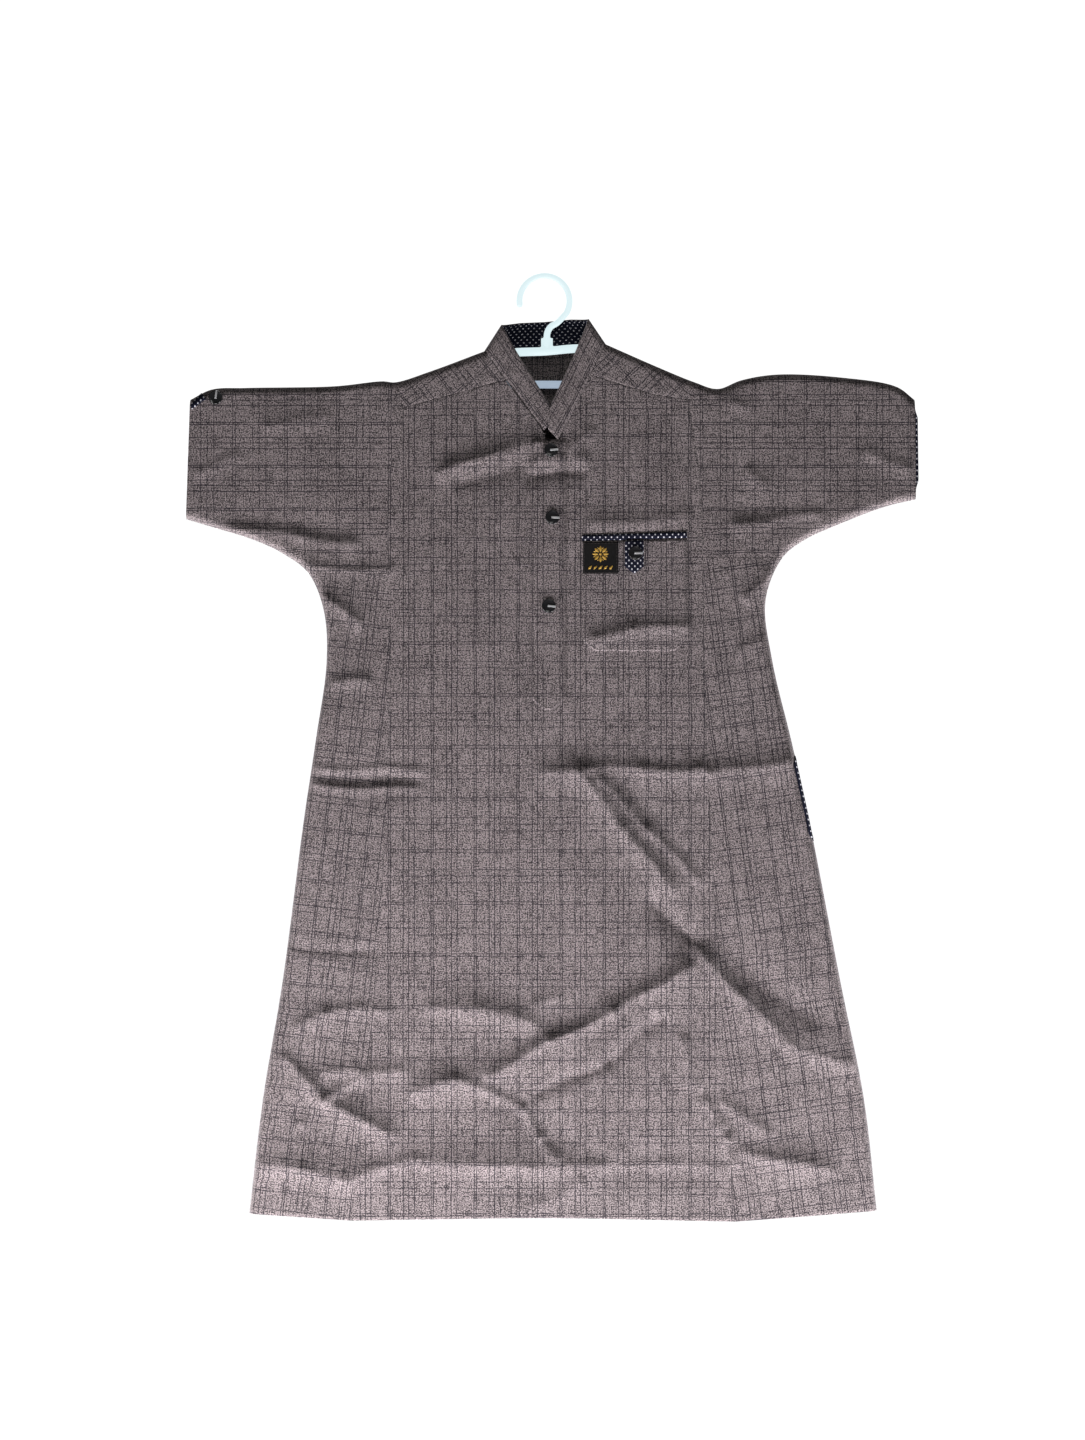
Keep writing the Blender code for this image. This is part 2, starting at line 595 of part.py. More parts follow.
def collar_surface(first, last):
    """Points and normals of the collar between two of its stations."""
    columns = []
    folds = [np.array(s[:4]) for s in COLLAR if s.side == CREASE]
    for index in range(first, last):
        start, end = COLLAR[index], COLLAR[index + 1]
        shares = even(3)
        if start.side == CREASE:
            shares = NEAR_FOLD
        if end.side == CREASE:
            shares = [1 - share for share in NEAR_FOLD[-2::-1]] + [1.0]
        facing = start.side or end.side
        for share in ([0.0] if index == first else []) + list(shares):
            mixed = np.array(start[:4]) * (1 - share) + np.array(end[:4]) * share
            raised = start.raised * (1 - share) + end.raised * share
            columns.append((*mixed, facing, raised))
    columns = np.array(columns)
    rows = []
    for share in COLLAR_UP:
        plane = columns[:, 0:2] * (1 - share) + columns[:, 2:4] * share
        away = np.min([np.linalg.norm(plane - (f[0:2] * (1 - share) + f[2:4] * share), axis=1)
                       for f in folds], axis=0)
        rise = np.sqrt(1 - np.clip(1 - away / EDGE_ROUND, 0.0, 1.0)**2)
        depth = columns[:, 4] * (SHOULDER_FULLNESS * rise + columns[:, 5])
        if share == 0.0:
            gap = np.where(away < EDGE_ROUND, 1.3 - (1.3 - SEAM) * away / EDGE_ROUND, SEAM)
            toward = columns[:, 2:4] - columns[:, 0:2]
            plane = plane + toward / np.linalg.norm(toward, axis=1)[:, None] * gap[:, None]
        rows.append(np.column_stack([plane[:, 0], depth, -plane[:, 1]]))
    points = np.array(rows)
    along, up = np.gradient(points, axis=1), np.gradient(points, axis=0)
    normals = np.cross(up, along)
    normals /= np.linalg.norm(normals, axis=2)[..., None]
    return points, normals


def collar_band(name, first, last, near, far, finish):
    points, normals = collar_surface(first, last)
    rows, columns = points.shape[:2]
    wall(name, points.reshape(-1, 3), normals.reshape(-1, 3), cells_of(rows, columns),
         near, far, finish)


collar_band("collar", 0, len(COLLAR) - 1, -TRIM, 0, taupe)
collar_band("collar_lining", 3, 7, -2 * TRIM - SEAM, -TRIM - SEAM, dotted)


# Placket, with a blunt point below, over the slit in the front panel

PLACKET_LEFT, PLACKET_RIGHT = -11.8, 18.8
PLACKET_TOP, PLACKET_SHOULDER, PLACKET_END = 142.6, 368.0, 378.4
PLACKET_TIP_HALF = 3.5
LAYER = TRIM + SEAM                     # from the outside of one layer to that of the next


def overlay(name, top, bottom, rows, layer, finish):
    """A flat piece sewn on the front, between a top and a lower edge with equal points."""
    top, bottom = np.array(top, float), np.array(bottom, float)
    grid = fill(top, bottom, chain([top[0], bottom[0]], [even(rows)]),
                chain([top[-1], bottom[-1]], [even(rows)]))
    near = SEAM + layer * LAYER
    cloth(name, on_side(grid, FRONT), near, near + TRIM, finish)


placket_middle = (PLACKET_LEFT + PLACKET_RIGHT) / 2
placket_x = (PLACKET_LEFT, placket_middle - PLACKET_TIP_HALF, placket_middle + PLACKET_TIP_HALF,
             PLACKET_RIGHT)
placket_ends = (PLACKET_SHOULDER, PLACKET_END, PLACKET_END, PLACKET_SHOULDER)
overlay("placket", [(x, PLACKET_TOP) for x in placket_x], list(zip(placket_x, placket_ends)),
        22, 0, taupe)


# Chest pocket on the wearer's left, with its dotted binding, tab and badge

POCKET_LEFT, POCKET_RIGHT = 32.8, 124.7
POCKET_TOP_LEFT, POCKET_TOP_RIGHT = 230.7, 227.6
POCKET_BOTTOM = 326.8
POCKET_CHAMFER = 10.5
BINDING = 5.4
pocket_x = np.array([POCKET_LEFT, POCKET_LEFT + POCKET_CHAMFER, 60.0, 78.0, 97.0,
                     POCKET_RIGHT - POCKET_CHAMFER, POCKET_RIGHT])
pocket_tops = np.interp(pocket_x, (POCKET_LEFT, POCKET_RIGHT), (POCKET_TOP_LEFT, POCKET_TOP_RIGHT))
pocket_ends = np.full(len(pocket_x), POCKET_BOTTOM)
pocket_ends[[0, -1]] -= POCKET_CHAMFER
overlay("pocket", np.column_stack([pocket_x, pocket_tops]),
        np.column_stack([pocket_x, pocket_ends]), 7, 0, taupe)
overlay("pocket_binding", np.column_stack([pocket_x, pocket_tops - BINDING - SEAM]),
        np.column_stack([pocket_x, pocket_tops - SEAM]), 1, 0, dotted)

BADGE_LEFT, BADGE_RIGHT, BADGE_TOP, BADGE_BOTTOM = 33.7, 64.3, 231.2, 259.1
badge_x = np.linspace(BADGE_LEFT, BADGE_RIGHT, 3)
overlay("badge", [(x, BADGE_TOP) for x in badge_x], [(x, BADGE_BOTTOM) for x in badge_x],
        2, 1, badge_black)

TAB_LEFT, TAB_RIGHT, TAB_TOP, TAB_SHOULDER, TAB_POINT = 70.3, 86.8, 229.8, 252.8, 259.1
tab_x = np.linspace(TAB_LEFT, TAB_RIGHT, 3)
overlay("pocket_tab", [(x, TAB_TOP) for x in tab_x],
        list(zip(tab_x, (TAB_SHOULDER, TAB_POINT, TAB_SHOULDER))), 2, 1, dotted)


# Dotted trims that show at the cuffs and in the side pocket

def cuff_facing():
    """The facing inside the wearer's left cuff, where it rolls out past the front edge."""
    inside, outside = 14.0, 2.4
    edge = sleeve_grid(LEFT)[3:-2, -1]
    rolled = np.full(len(edge), outside)
    rolled[[0, -1]] = SEAM
    grid = np.stack([edge - (inside, 0), edge - (1.0, 0),
                     edge + np.column_stack([rolled, np.zeros(len(edge))])], axis=1)
    cloth("cuff_facing_left", on_side(grid, FRONT), -CLOTH - SEAM - TRIM, -CLOTH - SEAM, dotted)


cuff_facing()

# Where the right cuff is turned back at its top corner, its dotted facing shows
overlay("cuff_corner_right", [(-308.6, 110.4), (-302.6, 105.4)], [(-300.0, 115.4), (-293.4, 106.4)],
        2, 0, dotted)

SIDE_POCKET_TOP, SIDE_POCKET_END = 419.0, 493.0
side_grid = gore_grid(LEFT)[:, :3]
side_rows = (side_grid[:, 0, 1] > SIDE_POCKET_TOP) & (side_grid[:, 0, 1] < SIDE_POCKET_END)
cloth("side_pocket_trim", on_side(side_grid[side_rows], FRONT), SEAM, SEAM + TRIM, dotted)


# Buttons: black discs with a bright bar from the middle to the rim

def turned(profile, sides):
    """A closed body turned about Z from a profile of (radius, height), first and last at 0."""
    body = bmesh.new()
    rings = []
    for radius, height in profile:
        if radius == 0:
            rings.append([body.verts.new((0, 0, height))])
            continue
        angles = [2 * math.pi * k / sides for k in range(sides)]
        rings.append([body.verts.new((radius * math.cos(a), radius * math.sin(a), height))
                      for a in angles])
    for low, high in zip(rings, rings[1:]):
        for k in range(sides):
            corners = [low[k % len(low)], low[(k + 1) % len(low)],
                       high[(k + 1) % len(high)], high[k % len(high)]]
            body.faces.new(list(dict.fromkeys(corners)))
    return body


def seat(x, drop, layers, spin):
    """Turn and place a piece on the front at (x, drop), on top of so many layers."""
    points, normals = surface([(x, drop, FRONT)])
    normal = Vector(normals[0])
    point = Vector(points[0]) + normal * (SEAM + layers * LAYER + 0.15)
    across_cloth = Vector((1, 0, 0))
    up = normal.cross(across_cloth).normalized()
    right = up.cross(normal).normalized()
    frame = Matrix((right, up, normal)).transposed().to_4x4()
    return Matrix.Translation(point * MM) @ frame @ Matrix.Rotation(math.radians(spin), 4, "Z")


Button = namedtuple("Button", "name x drop layers spin")
BUTTONS = (
    Button("1", 5.7, 150.9, 1, 4.0),
    Button("2", 6.9, 209.6, 1, -3.0),
    Button("3", 3.7, 287.2, 1, -6.0),
    Button("pocket", 79.8, 241.1, 2, 0.0),
    Button("cuff", -287.9, 104.2, 0, 82.0))
radius = BUTTON_DIAMETER / 2
PROFILE = ((0, 0), (radius - 1.2, 0), (radius, 0.7), (radius, BUTTON_HEIGHT - 0.7),
           (radius - 0.7, BUTTON_HEIGHT), (radius - 1.6, BUTTON_HEIGHT - 0.3),
           (0, BUTTON_HEIGHT - 0.3))

for button in BUTTONS:
    where = seat(button.x, button.drop, button.layers, button.spin)
    disc = add_object(f"button_{button.name}", turned(PROFILE, 20), black)
    disc.matrix_world = where
    bar = bmesh.new()
    bmesh.ops.create_cube(bar, size=1.0)
    bmesh.ops.scale(bar, vec=(BAR_LENGTH / 2, BAR_WIDTH, BAR_HEIGHT), verts=bar.verts)
    bmesh.ops.translate(bar, vec=(BAR_LENGTH / 4 + 0.4, 0, BUTTON_HEIGHT + BAR_HEIGHT / 2),
                        verts=bar.verts)
    add_object(f"button_bar_{button.name}", bar, silver).matrix_world = where


# Hanger: one moulding, a hook on a stem and a flat triangle of rod

def rod(path, radii, sides=10):
    """A round rod along a path in the garment's plane, with flat ends."""
    body = bmesh.new()
    points = [np.array(p, float) for p in path]
    rings = []
    for i, point in enumerate(points):
        before = points[max(i - 1, 0)]
        after = points[min(i + 1, len(points) - 1)]
        along = (after - before) / np.linalg.norm(after - before)
        beside = np.array([-along[1], along[0]])
        lean = 1.0
        if 0 < i < len(points) - 1:
            step = (point - before) / np.linalg.norm(point - before)
            lean = 1 / max(abs(float(step @ along)), 0.5)
        ring = []
        for k in range(sides):
            angle = 2 * math.pi * (k + 0.5) / sides
            plane = point + beside * math.cos(angle) * radii[i] * lean
            ring.append(body.verts.new((plane[0], math.sin(angle) * radii[i], -plane[1])))
        rings.append(ring)
    for low, high in zip(rings, rings[1:]):
        for k in range(sides):
            body.faces.new([low[k], low[(k + 1) % sides], high[(k + 1) % sides], high[k]])
    body.faces.new(rings[0])
    body.faces.new(rings[-1])
    return body


def hanger():
    rod_radius = FRAME_ROD / 2
    under_cloth = rod_radius + CLOTH + SEAM + 0.5
    arm, tip = {}, {}
    for side in (RIGHT, LEFT):
        ridge = stretch(top_curve[side], place(side, TOP_EDGE[side]["neck"]),
                        place(side, TOP_EDGE[side]["armhole"]))
        last = HANGER_MIDDLE + side * HANGER_WIDTH / 2 - side * rod_radius
        held = ridge[np.abs(ridge[:, 0]) < abs(last) + 2]
        at, ahead = (pick(held, [share + step for share in (0.0, 0.25, 0.5, 0.75, 0.97)])
                     for step in (0.0, 0.03))
        run = (ahead - at) / np.linalg.norm(ahead - at, axis=1)[:, None]
        inside = side * np.column_stack([-run[:, 1], run[:, 0]])
        arm[side] = [tuple(point) for point in at + inside * under_cloth]
        tip[side] = arm[side][-1]
    frame = add_object("hanger", rod(arm[RIGHT][::-1] + list(CROWN) + arm[LEFT],
                                     [rod_radius] * (len(CROWN) + 10)), white)

    bar = [tip[RIGHT], (-60.0, BAR_DROP), (0.0, BAR_DROP - 0.6), (60.0, BAR_DROP), tip[LEFT]]
    parts = [add_object("bar_tool", rod(bar, [rod_radius - 0.3] * len(bar)), white)]
    for side in (RIGHT, LEFT):
        knob = bmesh.new()
        bmesh.ops.create_uvsphere(knob, u_segments=10, v_segments=7, radius=rod_radius + 0.15)
        bmesh.ops.translate(knob, vec=(tip[side][0], 0, -tip[side][1]), verts=knob.verts)
        parts.append(add_object("tip_tool", knob, white))

    middle = HOOK_INNER_RADIUS + HOOK_ROD / 2
    arc = [math.radians(angle) for angle in range(*HOOK_TURN)]
    hook = [(middle * math.cos(a), HOOK_INNER_RADIUS - middle * math.sin(a)) for a in arc]
    neck = [tuple(p) for p in smooth([hook[-1]] + list(HOOK_NECK), 3)[1:]]
    thickness = [HOOK_ROD / 2] * len(hook) + list(np.linspace(HOOK_ROD, STEM_ROD, len(neck)) / 2)
    parts.append(add_object("hook_tool", rod(hook + neck, thickness), white))
    for side in (RIGHT, LEFT):
        fin = bmesh.new()
        bmesh.ops.create_cube(fin, size=1.0)
        bmesh.ops.scale(fin, vec=FIN_SIZE, verts=fin.verts)
        bmesh.ops.translate(fin, vec=(HOOK_NECK[-1][0] + side * FIN_OUT, 0, -FIN_DROP),
                            verts=fin.verts)
        parts.append(add_object("fin_tool", fin, white))
    for part in parts:
        join = frame.modifiers.new("join", "BOOLEAN")
        join.operation = "UNION"
        join.solver = "EXACT"
        join.object = part
        part.hide_render = True
        part.display_type = "WIRE"


hanger()

for thing in bpy.data.objects:
    if thing.name.startswith(("button", "hanger")):
        thing.data.shade_smooth()
        thing.data.set_sharp_from_angle(angle=math.radians(40))
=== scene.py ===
import math
from collections import namedtuple

import bmesh
import bpy
import numpy as np
from mathutils import Matrix, Vector


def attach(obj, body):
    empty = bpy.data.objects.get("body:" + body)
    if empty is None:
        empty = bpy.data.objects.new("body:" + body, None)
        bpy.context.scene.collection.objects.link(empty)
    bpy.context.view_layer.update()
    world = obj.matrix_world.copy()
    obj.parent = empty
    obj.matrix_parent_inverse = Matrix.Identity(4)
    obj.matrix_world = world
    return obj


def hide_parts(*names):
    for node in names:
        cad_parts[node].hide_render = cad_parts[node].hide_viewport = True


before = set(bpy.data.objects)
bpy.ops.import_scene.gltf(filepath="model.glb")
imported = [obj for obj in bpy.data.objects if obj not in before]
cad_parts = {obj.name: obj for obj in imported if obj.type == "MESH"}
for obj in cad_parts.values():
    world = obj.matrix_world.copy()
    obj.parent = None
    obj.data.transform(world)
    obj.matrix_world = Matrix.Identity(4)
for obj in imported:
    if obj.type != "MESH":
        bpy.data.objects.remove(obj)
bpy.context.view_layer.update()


# Back panel: the long centre piece of the back, cut from a checked suiting cloth woven of
# thick and thin yarns. It is sewn to the yoke above it and to the sleeves and gores beside it.

MM = 0.001
RIGHT, LEFT = -1, 1             # the wearer's sides: right is -X, left is +X
FRONT, BACK = -1, 1
CLOTH = 1.1                     # thickness of the cloth, in mm as the sizes below are
EDGE_ROUND = 6.5                # how far from a folded edge the cloth is still turning
EDGE_GAP = 0.1                  # from the middle of the garment to its cloth at such an edge
SHOULDER_FULLNESS = 8.6         # half depth of the garment over the hanger
HEM_FULLNESS = 12.5             # half depth from the waist down
YOKE_DROP, WAIST_DROP = 100.0, 480.0
GRID, BACK_GRID = 2.9, 3.3      # spacing of the points of a panel, and of the plainer back

Corner = namedtuple("Corner", "out drop")

# The folded top edge of each half: along the shoulder and the top of the sleeve
TOP_EDGE = {
    RIGHT: dict(
        neck=Corner(52.9, 63.4), shoulder=Corner(100.0, 81.0), armhole=Corner(130.8, 90.6),
        sleeve_head=Corner(142.2, 89.7), upper_arm=Corner(184.2, 94.1),
        elbow=Corner(262.0, 95.6), cuff_turn=Corner(292.0, 97.0), cuff=Corner(310.5, 106.0)),
    LEFT: dict(
        neck=Corner(53.8, 57.3), shoulder=Corner(100.0, 77.6), armhole=Corner(131.5, 90.5),
        sleeve_head=Corner(151.8, 96.5), upper_arm=Corner(172.8, 88.8),
        sleeve_rise=Corner(204.0, 83.8), elbow=Corner(262.0, 86.6),
        cuff_turn=Corner(309.0, 94.6), cuff=Corner(324.5, 106.0))}

# The closed lower edge of each half: under the sleeve and down the side to the hem
UNDER_EDGE = {
    RIGHT: dict(
        cuff=Corner(314.0, 211.0), elbow=Corner(292.7, 217.4), upper_arm=Corner(253.3, 229.7),
        bend=Corner(227.9, 241.9), underarm=Corner(206.9, 258.5), armpit=Corner(193.8, 290.9),
        chest=Corner(191.2, 334.7), waist=Corner(200.8, 404.7), hip=Corner(211.3, 474.7),
        thigh=Corner(229.7, 614.7), knee=Corner(247.2, 719.7), hem=Corner(259.0, 819.0)),
    LEFT: dict(
        cuff=Corner(325.5, 193.5), elbow=Corner(298.8, 199.9), upper_arm=Corner(253.3, 217.4),
        bend=Corner(227.1, 229.7), underarm=Corner(208.9, 244.6), armpit=Corner(194.0, 282.0),
        chest=Corner(199.9, 334.7), waist=Corner(216.6, 404.7), hip=Corner(232.3, 474.7),
        thigh=Corner(259.4, 614.7), knee=Corner(280.4, 719.7), hem=Corner(291.5, 816.5))}

# The sewn armhole, from the folded edge down to the seam under the sleeve
ARMHOLE = {
    RIGHT: dict(
        top=TOP_EDGE[RIGHT]["armhole"], yoke=Corner(123.8, 113.3), back_yoke=Corner(125.6, 140.4),
        chest=Corner(135.2, 168.4), side=Corner(136.9, 229.7), underarm=Corner(134.3, 258.5)),
    LEFT: dict(
        top=TOP_EDGE[LEFT]["armhole"], yoke=Corner(127.3, 106.3), back_yoke=Corner(130.8, 133.4),
        chest=Corner(134.3, 157.9), side=Corner(137.8, 194.7), underarm=Corner(139.1, 244.6))}

# The seam between the centre panel and each side gore
GORE_SEAM = {
    RIGHT: dict(
        underarm=ARMHOLE[RIGHT]["underarm"], waist=Corner(135.2, 388.9),
        thigh=Corner(145.7, 591.1), hem=Corner(168.4, 825.1)),
    LEFT: dict(
        underarm=ARMHOLE[LEFT]["underarm"], waist=Corner(141.3, 387.2),
        thigh=Corner(151.8, 588.4), hem=Corner(166.7, 826.0))}
HEM_MIDDLE = (4.8, 822.9)
FRONT_NECK = {RIGHT: Corner(34.6, 88.8), LEFT: Corner(40.3, 84.4)}
FRONT_YOKE_BEND = Corner(96.7, 101.9)

# A soft ridge of the cloth, or a trough where the height is less than zero
Fold = namedtuple("Fold", "x drop x_end drop_end width height")
SOFT_FOLDS = {
    FRONT: (
        Fold(-98, 171, -12, 141, 13, 1.2),          # pulled up to the top button
        Fold(-283, 213, -164, 227, 14, -2.2),       # along the underside of the right sleeve
        Fold(161, 202, 245, 210, 14, -2.0),         # along the underside of the left sleeve
        Fold(-204, 437, -108, 441, 14, -3.4),       # packing crease at the waist, right half
        Fold(0, 432, 152, 431, 14, 1.8),            # the same crease, left half
        Fold(150, 431, 222, 423, 14, 1.6),
        Fold(28, 428, 113, 540, 15, 2.3),           # two long diagonals over the left hip
        Fold(48, 424, 140, 532, 13, -2.0),
        Fold(92, 541, 134, 590, 15, -3.4),
        Fold(132, 590, 189, 652, 16, 3.0),          # its run out to the side seam
        Fold(189, 652, 272, 685, 16, 2.6),
        Fold(158, 594, 242, 650, 14, -1.8),
        Fold(124, 603, 20, 712, 17, 3.4),           # crossing back down to the middle
        Fold(-78, 632, 0, 655, 15, 2.8),
        Fold(-116, 706, -46, 698, 14, 3.4),
        Fold(-46, 697, 30, 664, 14, 3.4),
        Fold(-48, 703, 12, 760, 15, -3.1),
        Fold(-216, 700, -186, 719, 13, 2.8),        # a star of short creases by the right knee
        Fold(-186, 719, -134, 750, 14, 3.4),
        Fold(-212, 738, -160, 699, 13, -2.8),
        Fold(-247, 772, -150, 785, 15, 3.6),        # along the hem
        Fold(-113, 769, 30, 775, 15, 3.1),
        Fold(30, 775, 158, 782, 15, -2.8),
        Fold(183, 768, 248, 780, 15, 3.1)),
    BACK: (
        Fold(-150, 436, 90, 432, 15, 3.1),
        Fold(96, 470, 20, 600, 17, 3.6),
        Fold(-60, 480, -170, 640, 17, 3.9),
        Fold(-120, 590, -10, 720, 16, -3.4),
        Fold(60, 640, 180, 730, 17, 3.6),
        Fold(-240, 770, -90, 782, 16, 3.4),
        Fold(20, 770, 230, 784, 16, 3.1),
        Fold(-270, 214, -170, 228, 14, -2.0),
        Fold(170, 205, 260, 212, 14, -2.0))}
CREASES = {
    FRONT: (
        Fold(-96, 172, -35, 150, 5, 2.3),           # pulled up to the top button
        Fold(-35, 150, -3, 144, 5, 1.4),
        Fold(-78, 182, -19, 162, 7, -1.5),
        Fold(41, 130, 19, 153, 5, 1.2),
        Fold(-14, 161, 40, 158, 6, 1.3),            # below the top button
        Fold(-15, 173, 38, 170, 5, -1.7),
        Fold(-14.2, 160, -13.6, 372, 2.2, -0.6),    # sunk along the placket
        Fold(40.6, 86, 15.0, 141, 2.0, -0.3),       # and along the foot of the collar
        Fold(35, 217, 127, 209, 9, 1.5),            # above the pocket
        Fold(38, 315, 80, 309, 6, 2.2),             # across the pocket
        Fold(75, 309, 129, 304, 6, 1.9),
        Fold(-282, 219, -214, 226, 7, 2.0),         # under the right sleeve
        Fold(-219, 226, -161, 233, 8, 2.1),
        Fold(-308, 171, -268, 156, 5, 1.0),
        Fold(-247, 128, -188, 123, 7, 1.0),
        Fold(-195, 280, -158, 303, 7, 2.1),         # right armpit
        Fold(-188, 356, -154, 352, 6, 1.7),
        Fold(-207, 252, -130, 257, 4, 1.0),
        Fold(175, 167, 197, 185, 5, 1.3),           # left sleeve
        Fold(165, 215, 243, 207, 7, 1.9),
        Fold(159, 109, 180, 115, 4, 1.0),
        Fold(276, 153, 322, 168, 7, 1.1),
        Fold(201, 257, 175, 284, 6, 1.8),           # left armpit
        Fold(197, 317, 167, 328, 6, 1.2),
        Fold(-205, 429, -107, 432, 2.8, 1.8),       # packing creases at the right waist
        Fold(-204, 444, -110, 448, 2.8, 1.9),
        Fold(0, 431, 84, 429, 5, 1.6),              # packing crease over the left waist
        Fold(80, 429, 137, 432, 4, 1.8),
        Fold(132, 428, 147, 437, 3.5, 1.8),
        Fold(144, 434, 222, 422, 5, 1.5),
        Fold(28, 429, 71, 485, 5, 2.2),             # two long diagonals over the left hip
        Fold(68, 480, 112, 539, 5, 2.3),
        Fold(46, 437, 94, 487, 5, 2.1),
        Fold(91, 483, 137, 530, 5, 2.0),
        Fold(93, 544, 132, 586, 5, -1.8),
        Fold(127, 583, 175, 632, 6, 2.4),           # their run out to the left side
        Fold(172, 629, 217, 672, 5, 1.8),
        Fold(213, 670, 278, 692, 5, 1.6),
        Fold(159, 602, 239, 650, 9, -1.0),
        Fold(127, 602, 57, 644, 5, 3.3),            # crossing back to the middle
        Fold(63, 642, 3, 669, 5, 3.3),
        Fold(7, 667, -49, 700, 5, 3.1),
        Fold(108, 644, 54, 686, 5, -2.8),
        Fold(58, 684, -10, 716, 5, -2.7),
        Fold(97, 639, 113, 648, 4, 1.5),
        Fold(-105, 639, -55, 638, 8, 1.8),          # low in the middle
        Fold(-60, 638, -4, 656, 8, 1.8),
        Fold(-14, 637, 15, 627, 5, 1.1),
        Fold(-116, 713, -76, 702, 6, 2.3),
        Fold(-80, 702, -44, 712, 6, 2.4),
        Fold(-49, 710, -18, 727, 5, 2.2),
        Fold(-21, 724, -1, 753, 4.5, 2.1),
        Fold(-4, 749, 11, 772, 4, 1.7),
        Fold(-228, 679, -194, 720, 4, 2.4),         # star of short creases by the right knee
        Fold(-194, 720, -211, 743, 4, 1.6),
        Fold(-196, 721, -155, 698, 4, 2.2),
        Fold(-196, 719, -133, 751, 4, 2.4),
        Fold(-219, 658, -190, 643, 6, 1.8),
        Fold(-195, 644, -160, 637, 6, 1.9),
        Fold(-163, 637, -131, 643, 6, 1.7),
        Fold(-195, 696, -121, 693, 6, 2.1),
        Fold(-223, 585, -147, 591, 2.6, -1.2),      # sharp line across the right gore
        Fold(-258, 777, -212, 781, 6, 1.9),         # along the hem
        Fold(-217, 779, -172, 789, 6, 2.0),
        Fold(-177, 790, -111, 770, 6, 2.1),
        Fold(-116, 770, -44, 779, 6, 1.9),
        Fold(-49, 778, 42, 776, 6, 1.8),
        Fold(36, 779, 108, 773, 6, 1.7),
        Fold(103, 773, 165, 782, 6, 1.8),
        Fold(171, 763, 252, 782, 6, 2.0),
        Fold(-23, 818, 33, 791, 9, 1.6),
        Fold(29, 793, 70, 763, 9, 1.6),
        Fold(119, 662, 133, 709, 5, 1.9),           # short creases by the left knee
        Fold(139, 718, 156, 744, 4, 1.9),
        Fold(147, 741, 165, 756, 3.5, 1.7),
        Fold(155, 751, 169, 779, 4, 1.8),
        Fold(154, 719, 199, 751, 5, 1.8)),
    BACK: (
        Fold(-120, 160, -30, 150, 7, 1.3),          # below the yoke
        Fold(34, 154, 118, 168, 7, 1.2),
        Fold(-262, 220, -166, 232, 7, 2.0),         # under the sleeves
        Fold(168, 212, 262, 206, 7, 1.9),
        Fold(-196, 284, -160, 300, 6, 1.9),         # armpits
        Fold(200, 262, 168, 288, 6, 1.8),
        Fold(-158, 300, -96, 352, 8, 1.2),
        Fold(152, 296, 92, 340, 8, 1.3),
        Fold(-200, 434, -104, 438, 4, 1.5),         # packing creases at the waist
        Fold(-104, 438, 20, 433, 5, 1.6),
        Fold(16, 433, 140, 436, 4.5, 1.7),
        Fold(138, 436, 218, 428, 5, 1.5),
        Fold(96, 470, 58, 538, 6, 2.2),             # long diagonals over the hips
        Fold(60, 534, 20, 600, 6, 2.2),
        Fold(-60, 480, -118, 562, 6, 2.3),
        Fold(-116, 558, -170, 640, 6, 2.2),
        Fold(-96, 500, -142, 566, 6, -1.8),
        Fold(-120, 590, -68, 652, 6, -1.9),
        Fold(-72, 648, -10, 720, 6, 2.1),
        Fold(60, 640, 122, 688, 6, 2.2),
        Fold(118, 685, 180, 730, 6, 2.1),
        Fold(176, 727, 232, 744, 5, 1.8),
        Fold(140, 600, 196, 668, 5, 1.6),
        Fold(-206, 676, -168, 712, 5, 1.9),         # short creases at the knees
        Fold(-170, 711, -196, 742, 4, 1.6),
        Fold(-169, 712, -118, 726, 5, 1.8),
        Fold(10, 690, 40, 742, 5, 1.7),
        Fold(42, 738, 88, 752, 5, 1.7),
        Fold(-238, 772, -164, 784, 6, 1.9),         # along the hem
        Fold(-168, 784, -92, 772, 6, 1.9),
        Fold(-96, 774, 24, 780, 6, 1.8),
        Fold(20, 778, 128, 770, 6, 1.9),
        Fold(124, 772, 232, 786, 6, 1.9))}
CREST = 1.6                     # how far the top of a crease is rounded
CREASE_WANDER = 1.5             # how far a crease strays from its straight line
FOLD_RUNOUT, CREASE_RUNOUT = 0.4, 0.16      # shares of a half length over which they die away
CREASE_GAIN, CREASE_SPREAD = 1.8, 0.85      # by which a crease's height and width are multiplied
BILLOW, RIPPLE = 0.5, 0.28      # heights of the slow and the quick unevenness of hung cloth


def place(side, corner):
    """A corner of one half as a plane point (x, drop)."""
    return (side * corner.out, corner.drop)


def smooth(corners, steps=8):
    """A curve through every corner, with no kink at any of them."""
    points = np.array(corners, float)
    first = 2 * points[0] - points[1]
    last = 2 * points[-1] - points[-2]
    padded = np.vstack([first, points, last])
    curve = [points[0]]
    for i in range(1, len(padded) - 2):
        p0, p1, p2, p3 = padded[i - 1:i + 3]
        k0, k1, k2 = (math.sqrt(np.linalg.norm(b - a)) for a, b in ((p0, p1), (p1, p2), (p2, p3)))
        m1 = (p1 - p0) / k0 - (p2 - p0) / (k0 + k1) + (p2 - p1) / k1
        m2 = (p2 - p1) / k1 - (p3 - p1) / (k1 + k2) + (p3 - p2) / k2
        for step in range(1, steps + 1):
            t = step / steps
            bend = (2 * t**3 - 3 * t**2 + 1) * p1 + (3 * t**2 - 2 * t**3) * p2
            curve.append(bend + k1 * ((t**3 - 2 * t**2 + t) * m1 + (t**3 - t**2) * m2))
    return np.array(curve)


def lengths_along(curve):
    """The length of a curve up to each of its points."""
    return np.concatenate([[0.0], np.cumsum(np.linalg.norm(np.diff(curve, axis=0), axis=1))])


